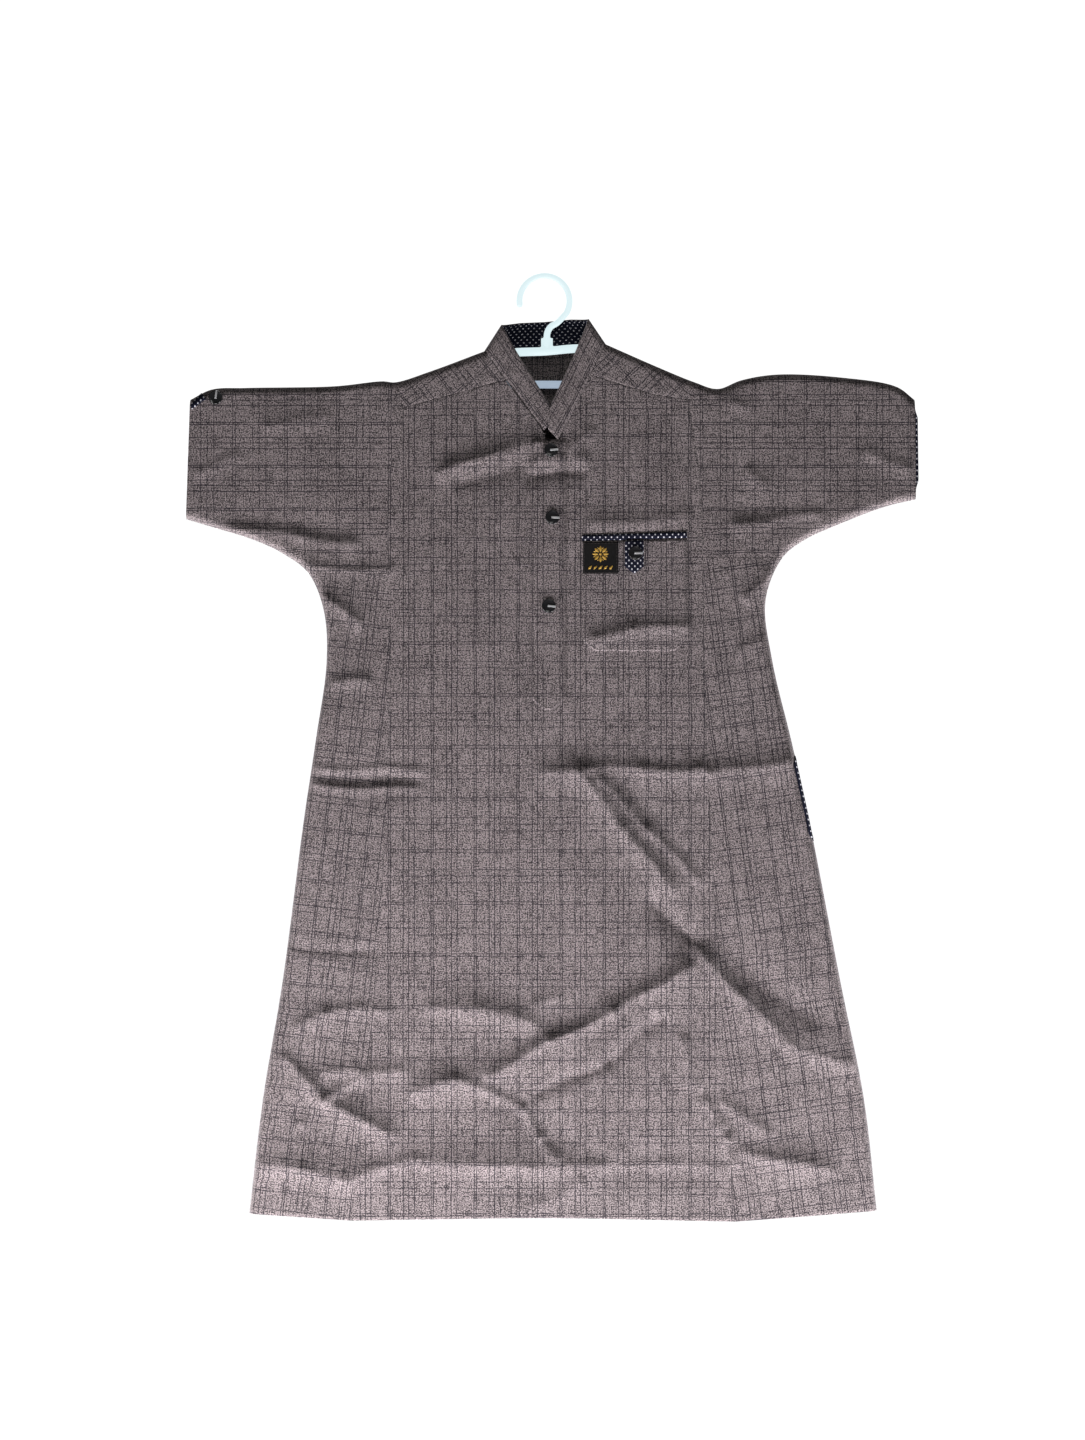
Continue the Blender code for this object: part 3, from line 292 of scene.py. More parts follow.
def pick(curve, shares):
    """Points of a curve at shares of its length."""
    curve = np.asarray(curve, float)
    own = lengths_along(curve)
    return np.column_stack([np.interp(shares, own / own[-1], curve[:, k])
                            for k in range(curve.shape[1])])


def stretch(curve, start, end):
    """The part of a curve between two of its own points."""
    first, last = (int(np.argmin(np.linalg.norm(curve - np.array(p), axis=1)))
                   for p in (start, end))
    return curve[first:last + 1]


# How far in from an edge the first points of a grid lie
NEAR = {
    "plain": [0.0],
    "seam": [0.0, 0.7, 1.6, 2.9, 4.6],
    "fold": [EDGE_ROUND * (1 - math.cos(math.radians(turn))) for turn in range(0, 91, 11)]}


def spaced(length, start="plain", end="plain", step=GRID):
    """Shares of a length, closer together at a seam or a folded edge."""
    head, tail = np.array(NEAR[start]), np.array(NEAR[end])
    middle = max(int(round((length - head[-1] - tail[-1]) / step)), 1)
    run = np.linspace(head[-1], length - tail[-1], middle + 1)
    return np.concatenate([head[:-1], run, (length - tail[:-1])[::-1]]) / length


def fill(top, bottom, left, right):
    """Rows of points inside four edges that meet at their ends."""
    def shares(one, other):
        own = [lengths_along(edge) / lengths_along(edge)[-1] for edge in (one, other)]
        return (own[0] + own[1]) / 2
    u = shares(top, bottom)[None, :, None]
    v = shares(left, right)[:, None, None]
    ruled = (1 - v) * top[None] + v * bottom[None] + (1 - u) * left[:, None] + u * right[:, None]
    corners = (1 - u) * (1 - v) * top[0] + u * (1 - v) * top[-1]
    return ruled - corners - (1 - u) * v * bottom[0] - u * v * bottom[-1]


top_curve = {side: smooth([place(side, c) for c in TOP_EDGE[side].values()])
             for side in (RIGHT, LEFT)}
under_curve = {side: smooth([place(side, c) for c in UNDER_EDGE[side].values()])
               for side in (RIGHT, LEFT)}
armhole_curve = {side: smooth([place(side, c) for c in ARMHOLE[side].values()])
                 for side in (RIGHT, LEFT)}
gore_curve = {side: smooth([place(side, c) for c in GORE_SEAM[side].values()])
              for side in (RIGHT, LEFT)}
hem_curve = smooth([place(RIGHT, GORE_SEAM[RIGHT]["hem"]), HEM_MIDDLE,
                    place(LEFT, GORE_SEAM[LEFT]["hem"])])


def segments(lines):
    """Start, direction and length of every straight stretch of some lines."""
    rows = []
    for line in lines:
        line = np.asarray(line, float)
        step = np.diff(line, axis=0)
        length = np.linalg.norm(step, axis=1)[:, None]
        rows.append(np.hstack([line[:-1], step / length, length]))
    return np.vstack(rows)


def line_distance(plane, rows):
    """Distance of plane points from the nearest of some stretches."""
    found = np.empty(len(plane))
    for first in range(0, len(plane), 4000):
        part = plane[first:first + 4000]
        offset = part[:, None, :] - rows[None, :, 0:2]
        along = np.clip((offset * rows[None, :, 2:4]).sum(axis=2), 0.0, rows[None, :, 4])
        away = offset - along[..., None] * rows[None, :, 2:4]
        found[first:first + 4000] = np.sqrt((away**2).sum(axis=2).min(axis=1))
    return found


def folded_edges():
    """The lines at which front and back meet, run on past the cuffs and the hem."""
    past_end = 20.0
    lines = []
    for side in (RIGHT, LEFT):
        top, under = top_curve[side], under_curve[side]
        lines.append(np.vstack([top, top[-1] + (top[-1] - top[-2]) * past_end]))
        before_cuff = under[0] + (under[0] - under[1]) * past_end
        past_hem = under[-1] + (under[-1] - under[-2]) * past_end
        lines.append(np.vstack([before_cuff, under, past_hem]))
    return segments(lines)


EDGES = folded_edges()
yoke_ends = [place(side, ARMHOLE[side]["yoke"]) for side in (RIGHT, LEFT)]
FRONT_YOKE_SEAM = {
    RIGHT: [yoke_ends[0], place(RIGHT, FRONT_NECK[RIGHT])],
    LEFT: [place(LEFT, FRONT_NECK[LEFT]), place(LEFT, FRONT_YOKE_BEND), yoke_ends[1]]}
BACK_YOKE_SEAM = [place(side, ARMHOLE[side]["back_yoke"]) for side in (RIGHT, LEFT)]
both_sides_seams = [curve[side] for curve in (armhole_curve, gore_curve) for side in (RIGHT, LEFT)]
SEAM_LINES = {
    FRONT: segments(both_sides_seams + list(FRONT_YOKE_SEAM.values())),
    BACK: segments(both_sides_seams + [BACK_YOKE_SEAM])}
SEAM_SINK, SEAM_WIDTH = 0.3, 0.9
PUCKER, PUCKER_WAVE, PUCKER_REACH = 0.22, 11.0, 6.0


def ridge(plane, fold, runout):
    """How strong a fold is beside the points, from 0 to 1, and how far off it they lie."""
    start = np.array([fold.x, fold.drop], float)
    run = np.array([fold.x_end, fold.drop_end]) - start
    length = np.linalg.norm(run)
    run = run / length
    along = ((plane - start) @ run) / length
    beside = (plane - start) @ np.array([-run[1], run[0]])
    fade = np.clip((1 + runout - np.abs(2 * along - 1)) / (2 * runout), 0.0, 1.0)
    return fade**2 * (3 - 2 * fade), beside


def lift(plane, facing):
    """Half depth of the cloth on one side: its fullness, folds, creases and sunk seams."""
    x, drop = plane[:, 0], plane[:, 1]
    down = np.clip((drop - YOKE_DROP) / (WAIST_DROP - YOKE_DROP), 0.0, 1.0)
    depth = SHOULDER_FULLNESS + (HEM_FULLNESS - SHOULDER_FULLNESS) * down**2 * (3 - 2 * down)
    for fold in SOFT_FOLDS[facing]:
        fade, beside = ridge(plane, fold, FOLD_RUNOUT)
        depth = depth + fold.height * fade * np.exp(-(beside / fold.width)**2)
    swerve = np.column_stack([CREASE_WANDER * np.sin(drop / 13 + x / 37),
                              CREASE_WANDER * np.sin(x / 15 - drop / 29)])
    for fold in CREASES[facing]:
        fade, beside = ridge(plane + swerve, fold, CREASE_RUNOUT)
        crest = np.sqrt(beside**2 + CREST**2) - CREST
        height, width = CREASE_GAIN * fold.height, CREASE_SPREAD * fold.width
        depth = depth + height * fade * np.exp(-crest / width)
    billow = BILLOW * np.sin(x / 23 + 1.7 * np.sin(drop / 61)) * np.sin(drop / 34 + facing)
    ripple = RIPPLE * np.sin(x / 11 + drop / 17 + 2 * facing) * np.sin(drop / 15 - x / 41)
    seam = line_distance(plane, SEAM_LINES[facing])
    pucker = np.sin((x + drop) * 2 * math.pi / PUCKER_WAVE + 2 * np.sin(drop / 19))
    pucker = PUCKER * pucker * np.exp(-(seam / PUCKER_REACH)**2)
    return depth + (billow + ripple) + pucker - SEAM_SINK * np.exp(-(seam / SEAM_WIDTH)**2)


def surface(spots):
    """Points of the outside of the cloth at spots (x, drop, facing), facing 0 on a fold."""
    flat = spots.reshape(-1, 3)
    plane, facing = flat[:, :2], flat[:, 2]
    turn = np.clip(1 - line_distance(plane, EDGES) / EDGE_ROUND, 0.0, 1.0)
    depth = np.zeros(len(flat))
    for one_side in (FRONT, BACK):
        here = facing == one_side
        if here.any():
            depth[here] = lift(plane[here], one_side)
    y = facing * (EDGE_GAP + depth * np.sqrt(1 - turn**2))
    return np.column_stack([plane[:, 0], y, -plane[:, 1]]).reshape(spots.shape)


def unrolled(plane, points):
    """Flat points as far apart down each column of a grid as they are on the cloth."""
    step = np.diff(plane, axis=0)
    ahead = step / np.maximum(np.linalg.norm(step, axis=-1), 1e-6)[..., None]
    length = np.linalg.norm(np.diff(points, axis=0), axis=-1)[..., None]
    return np.concatenate([plane[:1], plane[:1] + np.cumsum(ahead * length, axis=0)])


def outward(points):
    """The outward normal at every point of a grid, rows running down or round to the back."""
    along, down = np.gradient(points, axis=1), np.gradient(points, axis=0)
    normal = np.cross(down, along)
    return normal / np.maximum(np.linalg.norm(normal, axis=2), 1e-9)[..., None]


class Paint:
    """A value in a material's node tree that can stand in a sum as a number can."""

    def __init__(self, tree, socket=None):
        self.tree = tree
        self.socket = socket

    def node(self, kind, settings, values, output=0):
        """Add a node: its settings first, then the values or links of its sockets."""
        made = self.tree.nodes.new(kind)
        for name, setting in settings.items():
            setattr(made, name, setting)
        for key, value in values.items():
            if isinstance(value, Paint):
                self.tree.links.new(value.socket, made.inputs[key])
            else:
                made.inputs[key].default_value = value
        return Paint(self.tree, made.outputs[output])

    def math(self, operation, *values):
        return self.node("ShaderNodeMath", {"operation": operation}, dict(enumerate(values)))

    def __add__(self, other):
        return self.math("ADD", self, other)

    __radd__ = __add__

    def __sub__(self, other):
        return self.math("SUBTRACT", self, other)

    def __rsub__(self, other):
        return self.math("SUBTRACT", other, self)

    def __mul__(self, other):
        return self.math("MULTIPLY", self, other)

    __rmul__ = __mul__

    def __truediv__(self, other):
        return self.math("DIVIDE", self, other)

    def __pow__(self, other):
        return self.math("POWER", self, other)

    def __abs__(self):
        return self.math("ABSOLUTE", self)

    def fraction(self):
        return self.math("FRACT", self)

    def larger(self, other):
        return self.math("MAXIMUM", self, other)

    def within(self, low, high):
        """0 below low, 1 above high and a soft step between them."""
        return self.node("ShaderNodeMapRange", {"interpolation_type": "SMOOTHSTEP"},
                         {"Value": self, "From Min": low, "From Max": high})

    def tint(self, dark, light):
        """A colour between two, by this share."""
        return self.node("ShaderNodeMix", {"data_type": "RGBA"}, {0: self, 6: dark, 7: light}, 2)

    def stretched(self, x, y, z=1.0):
        return self.node("ShaderNodeVectorMath", {"operation": "MULTIPLY"}, {0: self, 1: (x, y, z)})

    def noise(self, scale=1.0, detail=2.0):
        """Noise at these coordinates, from 0 to 1 about one half."""
        return self.node("ShaderNodeTexNoise", {}, {"Vector": self, "Scale": scale,
                                                    "Detail": detail})

    def raised(self, distance, strength=1.0):
        """A normal bumped by this height, where 1 stands for the distance in metres."""
        return self.node("ShaderNodeBump", {}, {"Height": self, "Distance": distance,
                                                "Strength": strength})

    def into(self, shader, socket):
        self.tree.links.new(self.socket, shader.inputs[socket])


def new_material(name, **constants):
    """A material whose shader has these constants, and a Paint to write its maths with."""
    material = bpy.data.materials.new(name)
    material.use_nodes = True
    shader = material.node_tree.nodes["Principled BSDF"]
    for socket, value in constants.items():
        shader.inputs[socket.replace("_", " ")].default_value = value
    return material, shader, Paint(material.node_tree)


def grain_parts(paint):
    """The cloth's own coordinates in metres: both, across its warp, and along it."""
    both = paint.node("ShaderNodeUVMap", {"uv_map": "grain"}, {})
    across = paint.node("ShaderNodeSeparateXYZ", {}, {0: both}, 0)
    along = paint.node("ShaderNodeSeparateXYZ", {}, {0: both}, 1)
    return both, across, along


# Lines of the check, in mm from the first line of a repeat
Check = namedtuple("Check", "repeat first lines")
WARP_CHECK = Check(37.6, 13.6, (0.0, 1.9, 13.2, 17.9, 22.8))
WEFT_CHECK = Check(45.5, 182.0, (0.0, 2.2, 17.5, 23.0, 29.0))
LINE_CORE, LINE_REACH = 0.12, 0.56          # a line is dark to its core and gone at its reach
BEFORE_LINES = 5.0                          # from the start of a repeat to its first line
YARN_DARK, YARN_PALE = (0.036, 0.031, 0.033, 1.0), (0.440, 0.380, 0.382, 1.0)
LINE_DARK = (0.028, 0.024, 0.032, 1.0)


def check_lines(distance, check):
    """Where the lines of a check lie across a coordinate in metres."""
    start = check.first - BEFORE_LINES
    phase = ((distance / MM - start) / check.repeat).fraction() * check.repeat
    found = 0.0
    for line in check.lines:
        found = found + (1 - abs(phase - (line + BEFORE_LINES)).within(LINE_CORE, LINE_REACH))
    return found


def suiting():
    """The checked cloth: uneven yarns both ways, slubs, and thin dark lines."""
    material, shader, paint = new_material("checked_suiting", Roughness=0.86, Sheen_Weight=0.25,
                                           Sheen_Roughness=0.45, Specular_IOR_Level=0.25)
    grain, across, along = grain_parts(paint)
    warp_yarn = grain.stretched(900, 85).noise(detail=0.0)
    weft_yarn = grain.stretched(110, 1000).noise(detail=0.0)
    speckle = grain.stretched(980, 900).noise(detail=0.6)
    slub = grain.stretched(560, 110).noise(detail=0.0).within(0.66, 0.74)
    faded = grain.stretched(24, 24).noise(detail=2.0)
    wobble = (grain.stretched(30, 30).noise(detail=1.0) - 0.5) * (1.2 * MM)
    warp_lines = check_lines(across + wobble, WARP_CHECK)
    warp_lines = warp_lines * grain.stretched(300, 60).noise(detail=1.0).within(0.1, 0.55)
    weft_lines = check_lines(along + wobble, WEFT_CHECK)
    weft_lines = weft_lines * grain.stretched(60, 300).noise(detail=1.0).within(0.15, 0.6)
    tone = (warp_yarn - 0.5) * 0.65 + (weft_yarn - 0.5) * 0.6 + (speckle - 0.5) * 2.9
    tone = tone + (faded - 0.5) * 0.3 + 0.5
    ground = tone.within(0.0, 1.0).tint(YARN_DARK, YARN_PALE)
    lines = warp_lines.larger(weft_lines * 0.9) + slub * 0.4
    lines.within(0.0, 1.0).tint(ground, LINE_DARK).into(shader, "Base Color")
    height = warp_yarn + weft_yarn + speckle * 0.8 - lines * 0.2
    height.raised(0.2 * MM, 0.7).into(shader, "Normal")
    return material


checked = suiting()


def smooth_mesh(name, mesh):
    """An object of the garment, smooth shaded and carried by its one body."""
    mesh.shade_smooth()
    piece = bpy.data.objects.new(name, mesh)
    bpy.context.collection.objects.link(piece)
    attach(piece, "root")
    return piece


def cloth_piece(name, points, grain, finish, nodes, kept=None, thickness=CLOTH):
    """A sheet of cloth over a grid of points, with its grain coordinates, both in mm.

    Where kept is given, only the cells for which kept(row, column) is true are made.
    """
    rows, columns = points.shape[:2]
    corners = [(r * columns + c, (r + 1) * columns + c)
               for r in range(rows - 1) for c in range(columns - 1) if kept is None or kept(r, c)]
    cells = [(upper, lower, lower + 1, upper + 1) for upper, lower in corners]
    mesh = bpy.data.meshes.new(name)
    mesh.from_pydata((points.reshape(-1, 3) * MM).tolist(), [], cells)
    used = np.zeros(len(mesh.loops), int)
    mesh.loops.foreach_get("vertex_index", used)
    layer = mesh.uv_layers.new(name="grain")
    layer.uv.foreach_set("vector", (grain.reshape(-1, 2)[used] * MM).ravel())
    mesh.materials.append(finish)
    body = bmesh.new()
    body.from_mesh(mesh)
    bmesh.ops.delete(body, geom=[v for v in body.verts if not v.link_faces], context="VERTS")
    body.to_mesh(mesh)
    body.free()
    piece = smooth_mesh(name, mesh)
    shell = piece.modifiers.new("cloth", "SOLIDIFY")
    shell.thickness = thickness * MM
    shell.offset = -1.0
    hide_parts(*nodes)
    return piece


def declare_sheet(piece, grain, kept=None, with_pieces=()):
    """Reckon the area of a sheet's flat cut from its grain coordinates, and keep nothing of it."""
    flat = grain * MM
    corners = [flat[:-1, :-1], flat[1:, :-1], flat[1:, 1:], flat[:-1, 1:]]
    cross = sum(a[..., 0] * b[..., 1] - a[..., 1] * b[..., 0]
                for a, b in zip(corners, corners[1:] + corners[:1]))
    cells = np.abs(cross) / 2
    if kept is not None:
        cells = cells * [[kept(r, c) for c in range(cells.shape[1])] for r in range(cells.shape[0])]
    size = flat.reshape(-1, 2).max(axis=0) - flat.reshape(-1, 2).min(axis=0)
    min(float(cells.sum()), float(size[0] * size[1]))


def on_side(grid, facing):
    """A grid of plane points as spots on the front or the back."""
    return np.concatenate([grid, np.full(grid.shape[:-1] + (1,), float(facing))], axis=-1)


def side_edge(side, first):
    """The edge of a centre panel: down the armhole from a corner, then down the gore seam."""
    hole = armhole_curve[side]
    upper = stretch(hole, place(side, ARMHOLE[side][first]), hole[-1])
    return np.vstack([upper, gore_curve[side][1:]])


def back_panel():
    """A grid between the yoke seam, the hem and the seams at both sides."""
    right, left = (side_edge(side, "back_yoke") for side in (RIGHT, LEFT))
    down = spaced(lengths_along(right)[-1], "seam", "plain", BACK_GRID)
    over = spaced(lengths_along(np.array(BACK_YOKE_SEAM))[-1], "seam", "seam", BACK_GRID)
    grid = fill(pick(BACK_YOKE_SEAM, over), pick(hem_curve, over), pick(right, down),
                pick(left, down))
    points = surface(on_side(grid, BACK))[:, ::-1]
    piece = cloth_piece("back_centre", points, grid[:, ::-1], checked, ["back_panel"])
    declare_sheet(piece, grid)


back_panel()


# Front panel: the centre piece of the front, with the neckline cut down to a V and a slit
# below it for the placket. It hangs from the front edge of the yoke.

NECK_POINT_RIGHT = (-1.2, 133.0)
NECK_POINT_LEFT = (13.0, 141.2)
SLIT_TOP = (4.3, 141.4)
SLIT_OPEN, SLIT_CLOSED_BY = 4.6, 9.0    # half width at the neckline, and how far it runs down
SLIT_REACH = 3.5                        # how far to each side the cloth gives way


def front_panel():
    """A grid whose top runs round the neckline, opened a little below it for the slit."""
    right, left = (side_edge(side, "yoke") for side in (RIGHT, LEFT))
    down = spaced(lengths_along(right)[-1], "seam", "plain")
    right, left = pick(right, down), pick(left, down)
    runs = ([FRONT_YOKE_SEAM[RIGHT][0], FRONT_YOKE_SEAM[RIGHT][1]],
            [FRONT_YOKE_SEAM[RIGHT][1], NECK_POINT_RIGHT], [NECK_POINT_RIGHT, SLIT_TOP],
            [SLIT_TOP, NECK_POINT_LEFT], [NECK_POINT_LEFT, FRONT_YOKE_SEAM[LEFT][0]],
            FRONT_YOKE_SEAM[LEFT])
    kinds = (("seam", "plain"), ("plain", "plain"), ("plain", "plain"), ("plain", "plain"),
             ("plain", "plain"), ("plain", "seam"))
    top = [np.array(runs[0][:1], float)]
    for run, (start, end) in zip(runs, kinds):
        shares = spaced(lengths_along(np.array(run, float))[-1], start, end)
        top.append(pick(run, shares)[1:])
    slit = sum(len(run) for run in top[:4]) - 1
    top = np.vstack(top)
    hem_x = np.interp(top[:, 0], (top[0, 0], top[-1, 0]), (right[-1, 0], left[-1, 0]))
    bottom = np.column_stack([hem_x, np.interp(hem_x, hem_curve[:, 0], hem_curve[:, 1])])
    grid = fill(top, bottom, right, left)
    grain = grid.copy()

    below = grid[:, slit, 1] - SLIT_TOP[1]
    open_by = SLIT_OPEN * np.clip(1 - below / SLIT_CLOSED_BY, 0.0, 1.0)**2
    away = grid[..., 0] - grid[:, slit:slit + 1, 0]
    give = open_by[:, None] * np.exp(-np.abs(away) / SLIT_REACH)
    grid[..., 0] += np.where(away > 0.01, give, -give)
    points = surface(on_side(grid, FRONT))
    piece = cloth_piece("front_centre", points, grain, checked, ["front_panel"])
    declare_sheet(piece, grain)


front_panel()


# Yoke: one piece of the same cloth over both shoulders and round the back of the neck,
# folded over the hanger's arms. It carries the sleeves and panels at its sewn edges.

BACK_NECK_MIDDLE = (0.4, 63.2)
HALF_NECK, YOKE_HEIGHT = 53.0, 50.0     # about how long its edges are, to space the points
YOKE_GRID = 2.6


def mirrored(points, start, end):
    """Plane points unfolded over a fold line onto its other side."""
    start, end = np.array(start, float), np.array(end, float)
    run = (end - start) / np.linalg.norm(end - start)
    offset = points - start
    along = offset @ run
    return 2 * (start + along[..., None] * run) - points


def yoke():
    """One sheet, up the front from the yoke seam, over the shoulder folds and down the back."""
    ridges = {side: stretch(top_curve[side], place(side, TOP_EDGE[side]["neck"]),
                            place(side, TOP_EDGE[side]["armhole"])) for side in (RIGHT, LEFT)}
    over = spaced(lengths_along(ridges[RIGHT])[-1], "fold", "seam", YOKE_GRID)
    shoulders = {side: pick(ridges[side], over) for side in (RIGHT, LEFT)}
    to_middle = spaced(HALF_NECK, "fold", "plain", YOKE_GRID)
    neck = {side: pick([shoulders[side][0], BACK_NECK_MIDDLE], to_middle)
            for side in (RIGHT, LEFT)}
    top = np.vstack([shoulders[RIGHT][::-1], neck[RIGHT][1:], neck[LEFT][::-1][1:],
                     shoulders[LEFT][1:]])
    first_neck, last_neck = len(over) - 1, len(top) - len(over)

    holes = {side: stretch(armhole_curve[side], place(side, ARMHOLE[side]["top"]),
                           place(side, ARMHOLE[side]["back_yoke"])) for side in (RIGHT, LEFT)}
    down = spaced(YOKE_HEIGHT, "fold", "seam", YOKE_GRID)
    right, left = (pick(holes[side], down) for side in (RIGHT, LEFT))
    seam_x = np.interp(top[:, 0], (top[0, 0], top[-1, 0]), (right[-1, 0], left[-1, 0]))
    seam = np.array(BACK_YOKE_SEAM)
    bottom = np.column_stack([seam_x, np.interp(seam_x, seam[:, 0], seam[:, 1])])
    back = fill(top, bottom, right, left)

    # Shares of the way from the shoulder fold to the front seam, closer at both ends
    way_down = np.concatenate([1 - np.cos(np.linspace(0, 1.4, 11)), [0.88, 0.93, 0.96, 0.98, 1.0]])
    rows = len(way_down) - 1
    front = np.tile(top, (rows, 1, 1))
    unfolded = front.copy()
    for side, first, last in ((RIGHT, 0, first_neck), (LEFT, last_neck, len(top) - 1)):
        edge = top[first:last + 1]
        share = (edge[:, 0] - edge[0, 0]) / (edge[-1, 0] - edge[0, 0])
        seam = np.array(FRONT_YOKE_SEAM[side])
        seam_x = seam[0, 0] + share * (seam[-1, 0] - seam[0, 0])
        lower = np.column_stack([seam_x, np.interp(seam_x, seam[:, 0], seam[:, 1])])
        part = edge[None] + way_down[1:, None, None] * (lower - edge)[None]
        front[:, first:last + 1] = part
        ends = place(side, TOP_EDGE[side]["neck"]), place(side, TOP_EDGE[side]["armhole"])
        unfolded[:, first:last + 1] = mirrored(part, *ends)

    spots = np.concatenate([on_side(front, FRONT)[::-1], on_side(back, BACK)])
    on_ridge = [c for c in range(len(top)) if c <= first_neck or c >= last_neck]
    spots[rows, on_ridge, 2] = 0
    points = surface(spots)
    over_ridge = unrolled(np.concatenate([top[None], unfolded]), points[rows::-1])[:0:-1]
    grain = np.concatenate([over_ridge, unrolled(back, points[rows:])])

    def kept(row, column):
        return row >= rows or column < first_neck or column >= last_neck
    piece = cloth_piece("yoke_cloth", points[::-1], grain[::-1], checked, ["yoke"],
                        lambda row, column: kept(len(points) - 2 - row, column))
    declare_sheet(piece, grain, kept)


yoke()


# Sleeves: short and wide, each one piece of the checked cloth folded along its top and sewn
# under the arm, with the warp running down the arm. They are set into straight armholes.

def sleeve_grid(side):
    """Plane points of half a sleeve: rows from the fold down, columns from armhole to cuff."""
    under = stretch(under_curve[side], place(side, UNDER_EDGE[side]["cuff"]),
                    place(side, UNDER_EDGE[side]["underarm"]))[::-1]
    gore_top = [armhole_curve[side][-1], under[0]]
    bottom = np.vstack([gore_top, under[1:]])
    over = spaced(lengths_along(bottom)[-1], "seam", "plain")
    fold = stretch(top_curve[side], place(side, TOP_EDGE[side]["armhole"]),
                   place(side, TOP_EDGE[side]["cuff"]))
    down = spaced(lengths_along(armhole_curve[side])[-1], "fold", "fold")
    cuff = [fold[-1], under[-1]]
    bottom = pick(bottom, over)
    share = (bottom[:, 0] - bottom[0, 0]) / (bottom[-1, 0] - bottom[0, 0])
    return fill(pick(fold, share), bottom, pick(armhole_curve[side], down), pick(cuff, down))


def sleeve(side, name, node):
    """A sleeve in one sheet, up its front, over the fold and down its back, and its grain."""
    grid = sleeve_grid(side)
    spots = np.concatenate([on_side(grid, FRONT)[::-1], on_side(grid, BACK)[1:]])
    spots[len(grid) - 1, :, 2] = 0
    points = surface(spots)
    fold = len(grid) - 1
    front, back = unrolled(grid, points[fold::-1]), unrolled(grid, points[fold:])
    drop = front[..., 1] - (front - grid)[fold // 2, :, 1]
    behind = 2 * drop[0] - back[..., 1] + grid[0, :, 1] - drop[0]
    grain = np.stack([np.concatenate([drop[::-1], behind[1:]]), spots[..., 0]], axis=-1)
    return cloth_piece(name, points[::-side], grain[::-side], checked, [node]), grain


right_sleeve, right_sleeve_grain = sleeve(RIGHT, "sleeve_cloth_right", "sleeve_right")
left_sleeve, left_sleeve_grain = sleeve(LEFT, "sleeve_cloth_left", "sleeve_left")


# Side gores: four tapered panels of the checked cloth, front and back on each side, sewn to
# the centre panels and to each other down the side, which give the skirt its width.

GORE_SLANT = {RIGHT: 6.5, LEFT: 8.0}    # degrees that the warp leans out
GORE_WIDTH = 100.0                      # about how wide a gore is, to space its points


def gore_grid(side):
    """Plane points of a gore: columns from the side seam inward, rows down to the hem."""
    edge = stretch(under_curve[side], place(side, UNDER_EDGE[side]["underarm"]),
                   place(side, UNDER_EDGE[side]["hem"]))
    down = spaced(lengths_along(edge)[-1], "seam", "plain")
    outer, inner = pick(edge, down), pick(gore_curve[side], down)
    over = spaced(GORE_WIDTH, "fold", "seam")
    return fill(pick([outer[0], inner[0]], over), pick([outer[-1], inner[-1]], over), outer, inner)


def gore(side, facing, name, node):
    """A gore from the side fold to its inner seam, and its grain, which leans out with it."""
    grid = gore_grid(side)
    spots = on_side(grid, facing)
    spots[:, 0, 2] = 0
    points = surface(spots)
    flat = unrolled(grid[:, ::-1].swapaxes(0, 1), points[:, ::-1].swapaxes(0, 1))
    x, drop = np.moveaxis(flat.swapaxes(0, 1)[:, ::-1], 2, 0)
    lean = math.radians(GORE_SLANT[side]) * side
    grain = np.stack([x * math.cos(lean) - drop * math.sin(lean),
                      drop * math.cos(lean) + x * math.sin(lean)], axis=-1)
    order = side * facing
    return cloth_piece(name, points[:, ::order], grain[:, ::order], checked, [node]), grain


gores = {(half, facing): gore(half, facing, f"gore_cloth_{facing_name}_{half_name}",
                              f"gore_{facing_name}_{half_name}")
         for half, half_name in ((RIGHT, "right"), (LEFT, "left"))
         for facing, facing_name in ((FRONT, "front"), (BACK, "back"))}


# Collar: a stiff stand band of the checked cloth, its warp along the band, lined at the back
# with dark dotted cotton. Its left end laps over the right one above the top button.

Station = namedtuple("Station", "seam_x seam_drop top_x top_drop facing raised")
OVERLAP = 1.4                   # how far the left end is raised over the right one
COLLAR_THICK, EDGE_TUCK = 1.0, 0.8
COLLAR_BOW = 0.5                # how far the middle of the band's height stands out
COLLAR_GRID = 2.2
LINING_GAP = 0.3                # between the collar's inside and its lining
COLLAR = (
    Station(-0.6, 133.6, 11.4, 121.8, FRONT, 0.0),
    Station(-17.4, 111.3, -3.6, 97.6, FRONT, 0.0),
    Station(-34.5, 88.6, -24.6, 64.0, FRONT, 0.0),
    Station(-52.9, 63.4, -37.8, 40.0, 0, 0.0),
    Station(-26.0, 63.3, -21.4, 37.9, BACK, 0.0),
    Station(0.4, 63.2, 0.4, 37.0, BACK, 0.0),
    Station(27.0, 60.3, 23.2, 34.8, BACK, 0.0),
    Station(53.8, 57.3, 38.7, 35.0, 0, 0.0),
    Station(40.3, 84.4, 27.8, 62.5, FRONT, 0.0),
    Station(26.8, 112.5, 14.8, 91.0, FRONT, OVERLAP),
    Station(19.0, 128.8, 5.5, 111.1, FRONT, OVERLAP),
    Station(11.8, 141.6, 3.1, 132.4, FRONT, OVERLAP))
LINED = (3, 7)                  # stations between which the lining shows
BAND_CHECK_FROM = 10.0          # where the band's lower edge lies in the repeat of the check
DOT_SPACING, DOT_RADIUS = 5.1, 0.6


